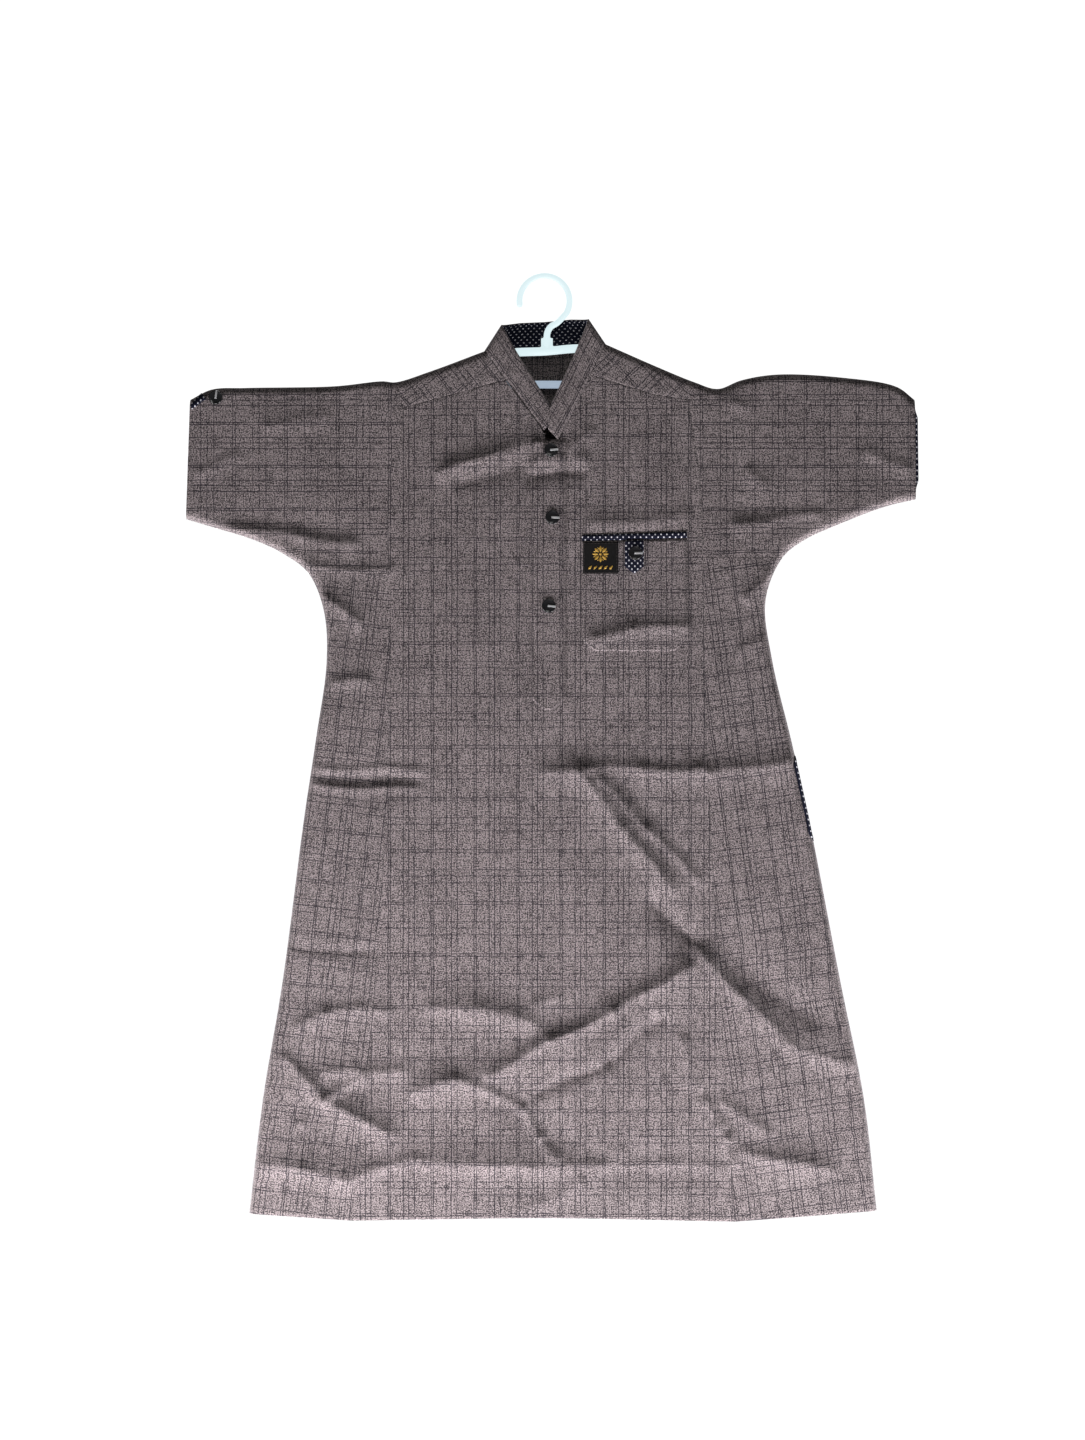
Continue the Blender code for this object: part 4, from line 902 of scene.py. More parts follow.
def dotted_cotton():
    """Fine dark navy cotton with small white dots in staggered rows."""
    material, shader, paint = new_material("dotted_cotton", Roughness=0.9, Specular_IOR_Level=0.2)
    grain, across, along = grain_parts(paint)
    dots = 0.0
    for shift in (0.0, 0.5):
        x = ((across / (DOT_SPACING * MM) + shift).fraction() - 0.5) * DOT_SPACING
        y = ((along / (DOT_SPACING * MM) + shift).fraction() - 0.5) * DOT_SPACING
        away = (x * x + y * y * 0.6)**0.5
        dots = dots + (1 - away.within(DOT_RADIUS * 0.8, DOT_RADIUS * 1.2))
    yarn = grain.stretched(1800, 1800).noise(detail=1.0)
    ground = yarn.tint((0.004, 0.005, 0.013, 1.0), (0.015, 0.017, 0.042, 1.0))
    dots.within(0.0, 1.0).tint(ground, (0.92, 0.93, 1.0, 1.0)).into(shader, "Base Color")
    (yarn + dots * 0.4).raised(0.12 * MM, 0.6).into(shader, "Normal")
    return material


dotted = dotted_cotton()


def collar_grid(first, last):
    """Points of the collar's outside between two stations, and its flat coordinates."""
    near_fold = np.array([1 - math.cos(math.radians(turn)) for turn in range(10, 91, 10)])
    columns = []
    folds = [np.array(s[:4]) for s in COLLAR if s.facing == 0]
    for index in range(first, last):
        start, end = COLLAR[index], COLLAR[index + 1]
        run = math.dist(start[:2], end[:2])
        even = np.linspace(0, 1, max(int(run / COLLAR_GRID), 4))[1:]
        shares = even
        if start.facing == 0:
            shares = np.concatenate([near_fold * EDGE_ROUND / run, even[even > EDGE_ROUND / run]])
        if end.facing == 0:
            clear = even[even < 1 - EDGE_ROUND / run]
            shares = np.concatenate([clear, 1 - near_fold[-2::-1] * EDGE_ROUND / run, [1.0]])
        facing = start.facing or end.facing
        for share in ([0.0] if index == first else []) + list(shares):
            mixed = np.array(start[:4]) * (1 - share) + np.array(end[:4]) * share
            overlap = start.raised * (1 - share) + end.raised * share
            columns.append((*mixed, facing, overlap))
    columns = np.array(columns)
    shares = np.concatenate([[0.0, 0.03, 0.07], np.linspace(0.15, 0.85, 8), [0.93, 0.97, 1.0]])
    up = np.linalg.norm(columns[:, 2:4] - columns[:, 0:2], axis=1)
    rows = []
    for share in shares:
        plane = columns[:, 0:2] * (1 - share) + columns[:, 2:4] * share
        away = np.min([np.linalg.norm(plane - (f[0:2] * (1 - share) + f[2:4] * share), axis=1)
                       for f in folds], axis=0)
        rise = np.sqrt(1 - np.clip(1 - away / EDGE_ROUND, 0.0, 1.0)**2)
        bow = COLLAR_BOW * math.sin(math.pi * share)
        tucked = EDGE_TUCK * np.exp(-np.minimum(share, 1 - share) * up / EDGE_TUCK)
        depth = columns[:, 4] * ((SHOULDER_FULLNESS + bow - tucked) * rise + columns[:, 5])
        rows.append(np.column_stack([plane[:, 0], depth, -plane[:, 1]]))
    points = np.array(rows)
    along = lengths_along(points[len(points) // 2])
    grain = np.stack([shares[:, None] * up[None] + BAND_CHECK_FROM,
                      np.tile(along, (len(shares), 1))], axis=-1)
    return points, grain


def collar():
    points, grain = collar_grid(0, len(COLLAR) - 1)
    band = cloth_piece("collar_cloth", points, grain, checked, ["collar"],
                       thickness=COLLAR_THICK)
    declare_sheet(band, grain)
    points, grain = collar_grid(*LINED)
    inside = points - outward(points) * (COLLAR_THICK + LINING_GAP)
    lining = cloth_piece("collar_lining_cloth", inside, grain, dotted,
                         ["collar_lining"], thickness=COLLAR_THICK)
    declare_sheet(lining, grain)


collar()


# Placket: a strip of the checked cloth folded to a blunt point below, topstitched all round
# over the slit in the front.

LAYER = 0.95                    # from the outside of one pressed layer to that of the next
TRIM = 0.7                      # thickness of a pressed layer
ON_PANEL, ON_POCKET = 0, 1      # the layer on the front itself, and that on the pocket
EDGE_SINK = (0.15, 0.2)         # how far the edges of the first and second layer are sewn down
SINK_REACH, SAG_REACH = 0.9, 8.0    # how far in the edges rise again, and a loose middle is full
PLACKET_LEFT, PLACKET_RIGHT = -11.8, 18.8
PLACKET_TOP, PLACKET_SHOULDER, PLACKET_END = 142.6, 368.0, 378.4
PLACKET_TIP_HALF = 3.5
BAR_TACK_DROP = 352.0
STITCH, STITCH_GAP, THREAD = 2.3, 0.7, 0.42     # a stitch's length, the gap and its thickness
STITCH_INSET = 2.2
STITCH_SIDES = 6

# A stitch from end to end: the share of its length, and how thick and high it is there,
# both as shares of the thread's thickness
StitchRing = namedtuple("StitchRing", "share thick rise")
STITCH_RINGS = (
    StitchRing(0.0, 0.12, -0.35),
    StitchRing(0.12, 0.8, 0.0),
    StitchRing(0.5, 1.0, 0.1),
    StitchRing(0.88, 0.8, 0.0),
    StitchRing(1.0, 0.12, -0.35))


def brown_thread():
    """Dark brown spun thread, its plies slightly lighter and darker along it."""
    material, shader, paint = new_material("brown_thread", Roughness=0.6)
    spot = paint.node("ShaderNodeTexCoord", {}, {}, 3)
    ply = spot.noise(1600.0, 1.0)
    ply.tint((0.016, 0.012, 0.013, 1.0), (0.060, 0.046, 0.046, 1.0)).into(shader, "Base Color")
    ply.raised(0.08 * MM, 0.6).into(shader, "Normal")
    return material


sewing_thread = brown_thread()


def on_front(points_in_plane, height):
    """Points lying a height off the front, and the outward normals there."""
    plane = np.asarray(points_in_plane, float)
    step = 0.8                      # mm, over which the slope of the cloth is measured
    at, right, below = (surface(on_side(plane + offset, FRONT))
                        for offset in ((0, 0), (step, 0), (0, step)))
    normal = np.cross(right - at, below - at)
    normal = normal / np.linalg.norm(normal, axis=-1)[..., None]
    normal = np.where(normal[..., 1:2] > 0, -normal, normal)
    return at + normal * height, normal


def overlay(name, top, bottom, layer, finish, node, step=2.2, sag=0.0):
    """A flat piece sewn on the front, between its top and its lower edge."""
    top, bottom = np.array(top, float), np.array(bottom, float)
    wide = lengths_along(top)[-1]
    tall = abs(bottom[0, 1] - top[0, 1])
    over = np.linspace(0, 1, max(int(wide / step), 3) + 1)
    down = np.linspace(0, 1, max(int(tall / step), 2) + 1)
    own = lengths_along(top) / wide
    over = np.unique(np.round(np.concatenate([over, own]), 4))
    lower = np.column_stack([np.interp(over, own, bottom[:, k]) for k in (0, 1)])
    grid = pick(top, over)[None] * (1 - down)[:, None, None] + lower[None] * down[:, None, None]
    points, normals = on_front(grid, (layer + 1) * LAYER)
    from_sides = np.minimum(over, 1 - over) * wide
    from_top = np.minimum(down, 1 - down) * tall
    edge = np.minimum(from_sides[None], from_top[:, None])
    points = points + normals * (sag * np.clip(edge / SAG_REACH, 0, 1))[..., None]
    points = points - normals * (EDGE_SINK[layer] * np.exp(-edge / SINK_REACH))[..., None]
    return cloth_piece(name, points, grid, finish, [node], thickness=TRIM), grid


def inset_path(corners, inset):
    """A path of plane points drawn in to its own left, as it is seen from the front."""
    corners = np.array(corners, float)
    step = np.diff(corners, axis=0)
    run = step / np.linalg.norm(step, axis=1)[:, None]
    aside = np.column_stack([run[:, 1], -run[:, 0]])
    at_corner = np.vstack([aside[:1], (aside[:-1] + aside[1:]), aside[-1:]])
    sharpest = 0.3                  # keeps a sharp corner from being drawn out to a spike
    for i in range(1, len(at_corner) - 1):
        at_corner[i] /= max(1 + float(aside[i - 1] @ aside[i]), sharpest)
    return corners + at_corner * inset


def stitch_row(name, route, layer):
    """A row of lockstitches along a path on the front, each a small rounded length of thread."""
    path = np.asarray(route, float)
    total = lengths_along(path)[-1]
    count = int(total / (STITCH + STITCH_GAP))
    body = bmesh.new()
    for index in range(count):
        start = index * (STITCH + STITCH_GAP) / total
        shares = [start + ring.share * STITCH / total for ring in STITCH_RINGS]
        centre, normal = on_front(pick(path, shares), (layer + 1) * LAYER)
        run = centre[-1] - centre[0]
        run = run / np.linalg.norm(run)
        rings = []
        for at, up, ring in zip(centre, normal, STITCH_RINGS):
            beside = np.cross(run, up)
            corners = []
            for k in range(STITCH_SIDES):
                angle = 2 * math.pi * k / STITCH_SIDES
                offset = beside * math.cos(angle) + up * math.sin(angle)
                point = at + up * ring.rise * THREAD + offset * ring.thick * THREAD / 2
                corners.append(body.verts.new(point * MM))
            rings.append(corners)
        for low, high in zip(rings, rings[1:]):
            for k in range(STITCH_SIDES):
                after = (k + 1) % STITCH_SIDES
                body.faces.new([low[k], low[after], high[after], high[k]])
        body.faces.new(rings[0][::-1])
        body.faces.new(rings[-1])
    bmesh.ops.recalc_face_normals(body, faces=body.faces)
    mesh = bpy.data.meshes.new(name)
    body.to_mesh(mesh)
    body.free()
    mesh.materials.append(sewing_thread)
    return smooth_mesh(name, mesh)


def placket():
    middle = (PLACKET_LEFT + PLACKET_RIGHT) / 2
    over = (PLACKET_LEFT, middle - PLACKET_TIP_HALF, middle + PLACKET_TIP_HALF, PLACKET_RIGHT)
    ends = (PLACKET_SHOULDER, PLACKET_END, PLACKET_END, PLACKET_SHOULDER)
    strip, grid = overlay("placket_cloth", [(x, PLACKET_TOP) for x in over],
                          list(zip(over, ends)), ON_PANEL, checked, "placket")
    outline = [(PLACKET_LEFT, PLACKET_TOP)] + list(zip(over, ends)) + [(PLACKET_RIGHT, PLACKET_TOP)]
    stitching = stitch_row("placket_stitching", inset_path(outline, STITCH_INSET), ON_PANEL)
    across = [(PLACKET_LEFT + STITCH_INSET, BAR_TACK_DROP),
              (PLACKET_RIGHT - STITCH_INSET, BAR_TACK_DROP)]
    bar_tack = stitch_row("placket_bar_stitching", across, ON_PANEL)
    declare_sheet(strip, grid, with_pieces=[stitching, bar_tack])


placket()


# Chest pocket: a patch of the checked cloth with cut-off lower corners, topstitched to the
# front, its top edge bound with the dotted cotton, and a pointed dotted tab over the middle.

POCKET_LEFT, POCKET_RIGHT = 32.8, 124.7
POCKET_TOP_LEFT, POCKET_TOP_RIGHT = 230.7, 227.6
POCKET_BOTTOM = 326.8
POCKET_CHAMFER = 10.5
POCKET_MIDDLE = 78.0
POCKET_STITCH_INSET = 1.8
BINDING, BINDING_ABOVE = 5.4, 0.2       # its height, and how far its foot is above the pocket
POCKET_SAG, BINDING_SAG = 0.3, 0.6      # how far their middles stand off the front
TAB_LEFT, TAB_RIGHT, TAB_TOP, TAB_SHOULDER, TAB_POINT = 70.3, 86.8, 229.8, 252.8, 259.1


def chest_pocket():
    over = np.array([POCKET_LEFT, POCKET_LEFT + POCKET_CHAMFER, POCKET_MIDDLE,
                     POCKET_RIGHT - POCKET_CHAMFER, POCKET_RIGHT])
    tops = np.interp(over, (POCKET_LEFT, POCKET_RIGHT), (POCKET_TOP_LEFT, POCKET_TOP_RIGHT))
    ends = np.full(len(over), POCKET_BOTTOM)
    ends[[0, -1]] -= POCKET_CHAMFER
    patch, grid = overlay("pocket_cloth", np.column_stack([over, tops]),
                          np.column_stack([over, ends]), ON_PANEL, checked, "pocket",
                          sag=POCKET_SAG)
    binding, _ = overlay("pocket_binding_cloth",
                         np.column_stack([over, tops - BINDING - BINDING_ABOVE]),
                         np.column_stack([over, tops - BINDING_ABOVE]), ON_PANEL, dotted,
                         "pocket_binding", step=1.8, sag=BINDING_SAG)
    tab_x = np.linspace(TAB_LEFT, TAB_RIGHT, 3)
    tab, tab_grid = overlay("pocket_tab_cloth", [(x, TAB_TOP) for x in tab_x],
                            list(zip(tab_x, (TAB_SHOULDER, TAB_POINT, TAB_SHOULDER))),
                            ON_POCKET, dotted, "pocket_tab", step=1.6)
    outline = [(over[0], tops[0])] + list(zip(over, ends)) + [(over[-1], tops[-1])]
    stitching = stitch_row("pocket_stitching", inset_path(outline, POCKET_STITCH_INSET), ON_PANEL)
    declare_sheet(patch, grid, with_pieces=[binding, stitching])
    declare_sheet(tab, tab_grid)


chest_pocket()


# Badge: a small black woven patch sewn at the pocket's corner, with a raised golden rosette
# over a row of small leaves in satin stitch.

BADGE_LEFT, BADGE_RIGHT, BADGE_TOP, BADGE_BOTTOM = 33.7, 64.3, 231.2, 259.1
ROSETTE_AT = (49.0, 241.8)
PETALS, PETAL_IN, PETAL_OUT, PETAL_HALF = 8, 2.0, 7.2, 1.25
BUD_IN, BUD_OUT, BUD_HALF = 4.6, 6.6, 0.5       # short leaves between the petals
KNOT_HALF = 1.2
LEAF_ROW_DROP, LEAVES, LEAF_STEP, LEAF_LONG, LEAF_HALF = 253.6, 5, 4.6, 4.4, 0.95
SATIN_HEIGHT, SATIN_SUNK = 0.45, 0.05
SATIN_ACROSS = (-1, -0.6, 0, 0.6, 1)            # shares of a leaf's half width
SATIN_CROWN = np.array([0.0, 0.8, 1.0, 0.8, 0.0])     # and of its height there
EDGING_INSET = 1.0


def badge_cloth():
    material, shader, paint = new_material("badge_black", Roughness=0.8, Specular_IOR_Level=0.2)
    grain, _, _ = grain_parts(paint)
    rib = grain.stretched(1400, 260).noise(detail=1.0)
    rib.tint((0.004, 0.004, 0.004, 1.0), (0.018, 0.017, 0.017, 1.0)).into(shader, "Base Color")
    rib.raised(0.15 * MM, 0.8).into(shader, "Normal")
    return material


def gold_satin():
    material, shader, paint = new_material("gold_thread", Roughness=0.42, Metallic=0.25,
                                           Sheen_Weight=0.3)
    spot = paint.node("ShaderNodeTexCoord", {}, {}, 3)
    strand = spot.stretched(1500, 1500, 700).noise(detail=1.0)
    strand.tint((0.36, 0.17, 0.012, 1.0), (0.95, 0.62, 0.10, 1.0)).into(shader, "Base Color")
    strand.raised(0.12 * MM, 0.9).into(shader, "Normal")
    return material


def satin_leaf(body, start, end, half):
    """A pointed, crowned leaf of satin stitch between two plane points."""
    start, end = np.array(start, float), np.array(end, float)
    run = end - start
    aside = np.array([-run[1], run[0]]) / np.linalg.norm(run) * half
    rows = []
    for share in np.linspace(0, 1, 9):
        wide = math.sin(math.pi * min(max(share, 0.04), 0.96))**0.7     # blunt at both points
        middle = start + run * share
        plane = np.array([middle + aside * wide * k for k in SATIN_ACROSS])
        base, normal = on_front(plane, (ON_POCKET + 1) * LAYER)
        rise = SATIN_CROWN * SATIN_HEIGHT * wide - SATIN_SUNK
        rows.append([body.verts.new(p * MM) for p in base + normal * rise[:, None]])
    for low, high in zip(rows, rows[1:]):
        for k in range(len(SATIN_ACROSS) - 1):
            body.faces.new([low[k], low[k + 1], high[k + 1], high[k]])


def badge():
    over = np.linspace(BADGE_LEFT, BADGE_RIGHT, 3)
    patch, grid = overlay("badge_cloth", [(x, BADGE_TOP) for x in over],
                          [(x, BADGE_BOTTOM) for x in over], ON_POCKET, badge_cloth(),
                          "badge", step=1.4)
    body = bmesh.new()
    centre = np.array(ROSETTE_AT)
    for k in range(PETALS):
        angle = 2 * math.pi * k / PETALS
        way = np.array([math.sin(angle), -math.cos(angle)])
        satin_leaf(body, centre + way * PETAL_IN, centre + way * PETAL_OUT, PETAL_HALF)
        between = angle + math.pi / PETALS
        way = np.array([math.sin(between), -math.cos(between)])
        satin_leaf(body, centre + way * BUD_IN, centre + way * BUD_OUT, BUD_HALF)
    satin_leaf(body, centre - (KNOT_HALF, 0), centre + (KNOT_HALF, 0), KNOT_HALF)
    reach = LEAF_LONG * 0.35            # across and up from its middle, as each leaf leans
    for k in range(LEAVES):
        x = ROSETTE_AT[0] + (k - (LEAVES - 1) / 2) * LEAF_STEP
        satin_leaf(body, (x - reach, LEAF_ROW_DROP + reach), (x + reach, LEAF_ROW_DROP - reach),
                   LEAF_HALF)
    bmesh.ops.recalc_face_normals(body, faces=body.faces)
    mesh = bpy.data.meshes.new("badge_rosette")
    body.to_mesh(mesh)
    body.free()
    mesh.materials.append(gold_satin())
    rosette = smooth_mesh("badge_rosette", mesh)
    outline = [(BADGE_LEFT, BADGE_TOP), (BADGE_LEFT, BADGE_BOTTOM), (BADGE_RIGHT, BADGE_BOTTOM),
               (BADGE_RIGHT, BADGE_TOP), (BADGE_LEFT, BADGE_TOP)]
    edging = stitch_row("badge_edging", inset_path(outline, EDGING_INSET), ON_POCKET)
    declare_sheet(patch, grid, with_pieces=[rosette, edging])


badge()


# Dotted trims: the facing that rolls out of the left cuff, the corner turned back at the
# right cuff, and the edge of the pocket let into the left side seam, all dotted cotton.

FACING_INSIDE, FACING_ROLL = 14.0, 2.4          # its depth in the cuff and outside it
FACING_ROWS, TRIM_ROWS = 40, 30
CUFF_GAP = 0.3                                  # between the cuff's inside and the facing
SIDE_POCKET_TOP, SIDE_POCKET_END = 419.0, 493.0
SIDE_TRIM, TRIM_TAPER = 3.6, 6.0                # its width, and how far its ends narrow


def cuff_facing():
    under = stretch(under_curve[LEFT], place(LEFT, UNDER_EDGE[LEFT]["cuff"]),
                    place(LEFT, UNDER_EDGE[LEFT]["elbow"]))
    edge = pick([place(LEFT, TOP_EDGE[LEFT]["cuff"]), under[0]], np.linspace(0.1, 0.9, FACING_ROWS))
    rolled = FACING_ROLL * np.clip(np.sin(np.linspace(0, math.pi, FACING_ROWS)) * 3, 0.1, 1)
    # Steps from inside the cuff in mm, then outside it as shares of how far it rolls out
    steps = (-FACING_INSIDE, -8.0, -3.0, -1.0, 0.0, 0.6, 1.0)
    out = np.column_stack([rolled * s if s > 0 else np.full(FACING_ROWS, s) for s in steps])
    grid = np.stack([edge[:, :1] + out, np.repeat(edge[:, 1:], len(steps), axis=1)], axis=-1)
    points, _ = on_front(grid, -CLOTH - CUFF_GAP)
    grain = np.stack([out - FACING_ROLL / 2, grid[..., 1]], axis=-1)    # dots along its roll
    piece = cloth_piece("cuff_facing_cloth_left", points, grain, dotted,
                        ["cuff_facing_left"], thickness=TRIM)
    declare_sheet(piece, grain)


def cuff_corner():
    corner, _ = overlay("cuff_corner_cloth_right", [(-309.9, 111.0), (-300.4, 100.8)],
                        [(-308.6, 115.0), (-296.4, 105.8)], ON_PANEL, dotted,
                        "cuff_corner_right", step=1.2)
    return corner


def side_trim():
    edge = stretch(under_curve[LEFT], place(LEFT, UNDER_EDGE[LEFT]["underarm"]),
                   place(LEFT, UNDER_EDGE[LEFT]["hem"]))
    drops = np.linspace(SIDE_POCKET_TOP, SIDE_POCKET_END, TRIM_ROWS)
    within_fold = 0.15
    outer = np.interp(drops, edge[:, 1], edge[:, 0]) - within_fold
    from_end = np.minimum(drops - SIDE_POCKET_TOP, SIDE_POCKET_END - drops)
    narrowed = np.clip(from_end / TRIM_TAPER, 0.15, 1)
    inward = np.outer(narrowed, (1.0, 0.75, 0.5, 0.25, 0.08, 0.0)) * SIDE_TRIM
    down = np.repeat(drops[:, None], inward.shape[1], axis=1)
    points, _ = on_front(np.stack([outer[:, None] - inward, down], axis=-1), LAYER)
    grain = np.stack([SIDE_TRIM / 2 - inward, down], axis=-1)           # dots along its middle
    return cloth_piece("side_pocket_cloth", points, grain, dotted,
                       ["side_pocket_trim"], thickness=TRIM)


cuff_facing()
declare_sheet(right_sleeve, right_sleeve_grain,
              with_pieces=[cuff_corner()])
declare_sheet(left_sleeve, left_sleeve_grain)
seam_trim = side_trim()
for (half, facing), (panel, panel_grain) in gores.items():
    declare_sheet(panel, panel_grain,
                  with_pieces=[seam_trim] if (half, facing) == (LEFT, FRONT) else [])


# Buttons: glossy black moulded discs with a raised rim and a dished face, each with a short
# bright bar from its middle to its rim. Three close the placket; one each at pocket and cuff.

BUTTON_GAP = 0.2                # between the cloth and a button's underside
BAR_LENGTH, BAR_WIDTH, BAR_HEIGHT = 7.2, 1.8, 0.5
BAR_START, BAR_LEVEL, BAR_BEVEL = -0.9, 1.9, 0.25       # from the middle and above the cloth

# Where a button lies, over how many layers, how far it is spun in degrees, and how far it is
# turned to face the front where the cloth below it turns away
Button = namedtuple("Button", "name x drop layers spin upright")
BUTTONS = (
    Button("1", 5.7, 150.9, 1, 4.0, 0.0),
    Button("2", 6.9, 209.6, 1, -3.0, 0.0),
    Button("3", 3.7, 287.2, 1, -6.0, 0.0),
    Button("pocket", 79.8, 241.1, 2, 0.0, 0.0),
    Button("cuff", -287.9, 104.6, 0, 82.0, 1.5))
# Half a section, from the middle of the underside round to the middle of the face
BUTTON_PROFILE = ((0.0, 0.0), (4.6, 0.0), (5.6, 0.25), (6.05, 0.7), (6.2, 1.25), (6.05, 1.75),
                  (5.7, 2.08), (5.3, 2.2), (4.95, 2.12), (4.65, 1.92), (4.0, 1.8), (2.4, 1.72),
                  (0.0, 1.7))


def button_black():
    material, shader, paint = new_material("button_black", Coat_Roughness=0.08)
    spot = paint.node("ShaderNodeTexCoord", {}, {}, 3)
    cloud = spot.noise(260.0, 3.0)
    cloud.tint((0.006, 0.006, 0.007, 1.0), (0.022, 0.022, 0.024, 1.0)).into(shader, "Base Color")
    (cloud * 0.16 + 0.12).into(shader, "Roughness")
    (cloud * 0.4 + 0.6).into(shader, "Coat Weight")
    return material


def bar_silver():
    material, shader, paint = new_material("bar_silver", Base_Color=(0.86, 0.87, 0.88, 1.0))
    spot = paint.node("ShaderNodeTexCoord", {}, {}, 3)
    brushed = spot.stretched(300, 2500, 2500).noise(detail=1.0)
    (brushed * 0.3 + 0.2).into(shader, "Roughness")
    (brushed * 0.2 + 0.55).into(shader, "Metallic")
    return material


black_plastic, bright_metal = button_black(), bar_silver()


def seat(x, drop, layers, spin, upright):
    """Turn and place a piece on the front at (x, drop), on top of so many layers."""
    point, normal = on_front([(x, drop)], BUTTON_GAP + layers * LAYER)
    normal = (Vector(normal[0]) + upright * Vector((0, -1, 0))).normalized()
    up = normal.cross(Vector((1, 0, 0))).normalized()
    right = up.cross(normal).normalized()
    tilt = Matrix((right, up, normal)).transposed().to_4x4()
    spun = Matrix.Rotation(math.radians(spin), 4, "Z")
    return Matrix.Translation(Vector(point[0]) * MM) @ tilt @ spun


def turned(name, profile, sides=56):
    """A mesh turned about Z from a profile of (radius, height) in mm."""
    body = bmesh.new()
    rings = []
    for radius, height in profile:
        angles = [2 * math.pi * k / sides for k in range(sides)] if radius else [0.0]
        rings.append([body.verts.new((radius * math.cos(a) * MM, radius * math.sin(a) * MM,
                                      height * MM)) for a in angles])
    for low, high in zip(rings, rings[1:]):
        for k in range(sides):
            corners = [low[k % len(low)], low[(k + 1) % len(low)],
                       high[(k + 1) % len(high)], high[k % len(high)]]
            body.faces.new(list(dict.fromkeys(corners)))
    mesh = bpy.data.meshes.new(name)
    body.to_mesh(mesh)
    body.free()
    return mesh


for button in BUTTONS:
    where = seat(*button[1:])
    disc = smooth_mesh(f"disc_{button.name}", turned(f"disc_{button.name}", BUTTON_PROFILE))
    disc.matrix_world = where
    disc.data.materials.append(black_plastic)
    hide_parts(f"button_{button.name}")
    bar_body = bmesh.new()
    bmesh.ops.create_cube(bar_body, size=MM)
    bmesh.ops.scale(bar_body, vec=(BAR_LENGTH, BAR_WIDTH, BAR_HEIGHT * 2), verts=bar_body.verts)
    bmesh.ops.translate(bar_body, vec=((BAR_LENGTH / 2 + BAR_START) * MM, 0, BAR_LEVEL * MM),
                        verts=bar_body.verts)
    bmesh.ops.bevel(bar_body, geom=bar_body.edges, offset=BAR_BEVEL * MM, segments=3,
                    affect="EDGES", profile=0.5)
    bar_mesh = bpy.data.meshes.new(f"bar_{button.name}")
    bar_body.to_mesh(bar_mesh)
    bar_body.free()
    bar_mesh.materials.append(bright_metal)
    bar = smooth_mesh(f"bar_{button.name}", bar_mesh)
    bar.matrix_world = where
    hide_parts(f"button_bar_{button.name}")


# Hanger: a child's hanger in one white plastic moulding, a hook on a stem over a flat
# triangle of round rod, slightly glossy with soft joins. The shoulders hang on its arms.

HOOK_INNER_RADIUS = 19.3
HOOK_ROD, STEM_ROD, FRAME_ROD = 5.4, 6.1, 7.6       # diameters
HANGER_WIDTH, HANGER_MIDDLE = 256.0, 2.5
UNDER_CLOTH = 2.0                       # from a shoulder fold to the rod below it
CROWN = ((-26.7, 64.6), (0.4, 63.4), (29.3, 61.0))
BAR_DROP, BAR_BEND_OUT, BAR_RISE = 93.2, 60.0, 0.6      # the bar rises a little in its middle
BAR_THINNER, END_THICKER = 0.3, 0.15    # than the frame's rod, as radii
HOOK_TURN = (188, -30, -7)              # degrees: from the tip, to the stem, by steps
HOOK_NECK = ((11.4, 38.2), (5.4, 42.0), (2.5, 47.2), (2.1, 54.0), (2.1, 63.4))
FIN_OUT, FIN_DROP = 3.9, 55.6
FIN_SIZE = (2.6, 2.0, 7.5)
VOXEL = 0.52


def hanger_plastic():
    """White plastic with a painted glow, bright from the crown up and dimmed at the bar as painted
    shade.
    """
    material, shader, paint = new_material("hanger_plastic", Emission_Strength=1.0,
                                           Specular_IOR_Level=0.25)
    spot = paint.node("ShaderNodeTexCoord", {}, {}, 3)
    height = paint.node("ShaderNodeSeparateXYZ", {}, {0: spot}, 2)
    wear = spot.noise(140.0, 3.0)
    wear.tint((0.10, 0.10, 0.10, 1.0), (0.14, 0.14, 0.14, 1.0)).into(shader, "Base Color")
    above_bar, below_crown = 4.0, 6.0
    # clear is the share of the painted glow's bright colour: 1 from just below the crown up, 0 at
    # the bar, where the dimmer emission is painted shade inside the neck.
    clear = height.within(-(BAR_DROP - above_bar) * MM, -(CROWN[1][1] + below_crown) * MM)
    clear.tint((0.34, 0.42, 0.52, 1.0), (0.69, 0.84, 0.87, 1.0)).into(shader, "Emission Color")
    (wear * 0.22 + 0.3).into(shader, "Roughness")
    spot.noise(420.0, 2.0).raised(0.05 * MM, 0.4).into(shader, "Normal")
    return material


def rod(body, path, radii, sides=18):
    """A round rod along a path in the garment's plane, closed by flat ends."""
    points = [np.array(p, float) for p in path]
    rings = []
    for i, point in enumerate(points):
        before, after = points[max(i - 1, 0)], points[min(i + 1, len(points) - 1)]
        along = (after - before) / np.linalg.norm(after - before)
        beside = np.array([-along[1], along[0]])
        ring = []
        for k in range(sides):
            angle = 2 * math.pi * k / sides
            plane = point + beside * math.cos(angle) * radii[i]
            ring.append(body.verts.new((plane[0] * MM, math.sin(angle) * radii[i] * MM,
                                        -plane[1] * MM)))
        rings.append(ring)
    for low, high in zip(rings, rings[1:]):
        for k in range(sides):
            body.faces.new([low[k], low[(k + 1) % sides], high[(k + 1) % sides], high[k]])
    body.faces.new(rings[0])
    body.faces.new(rings[-1])


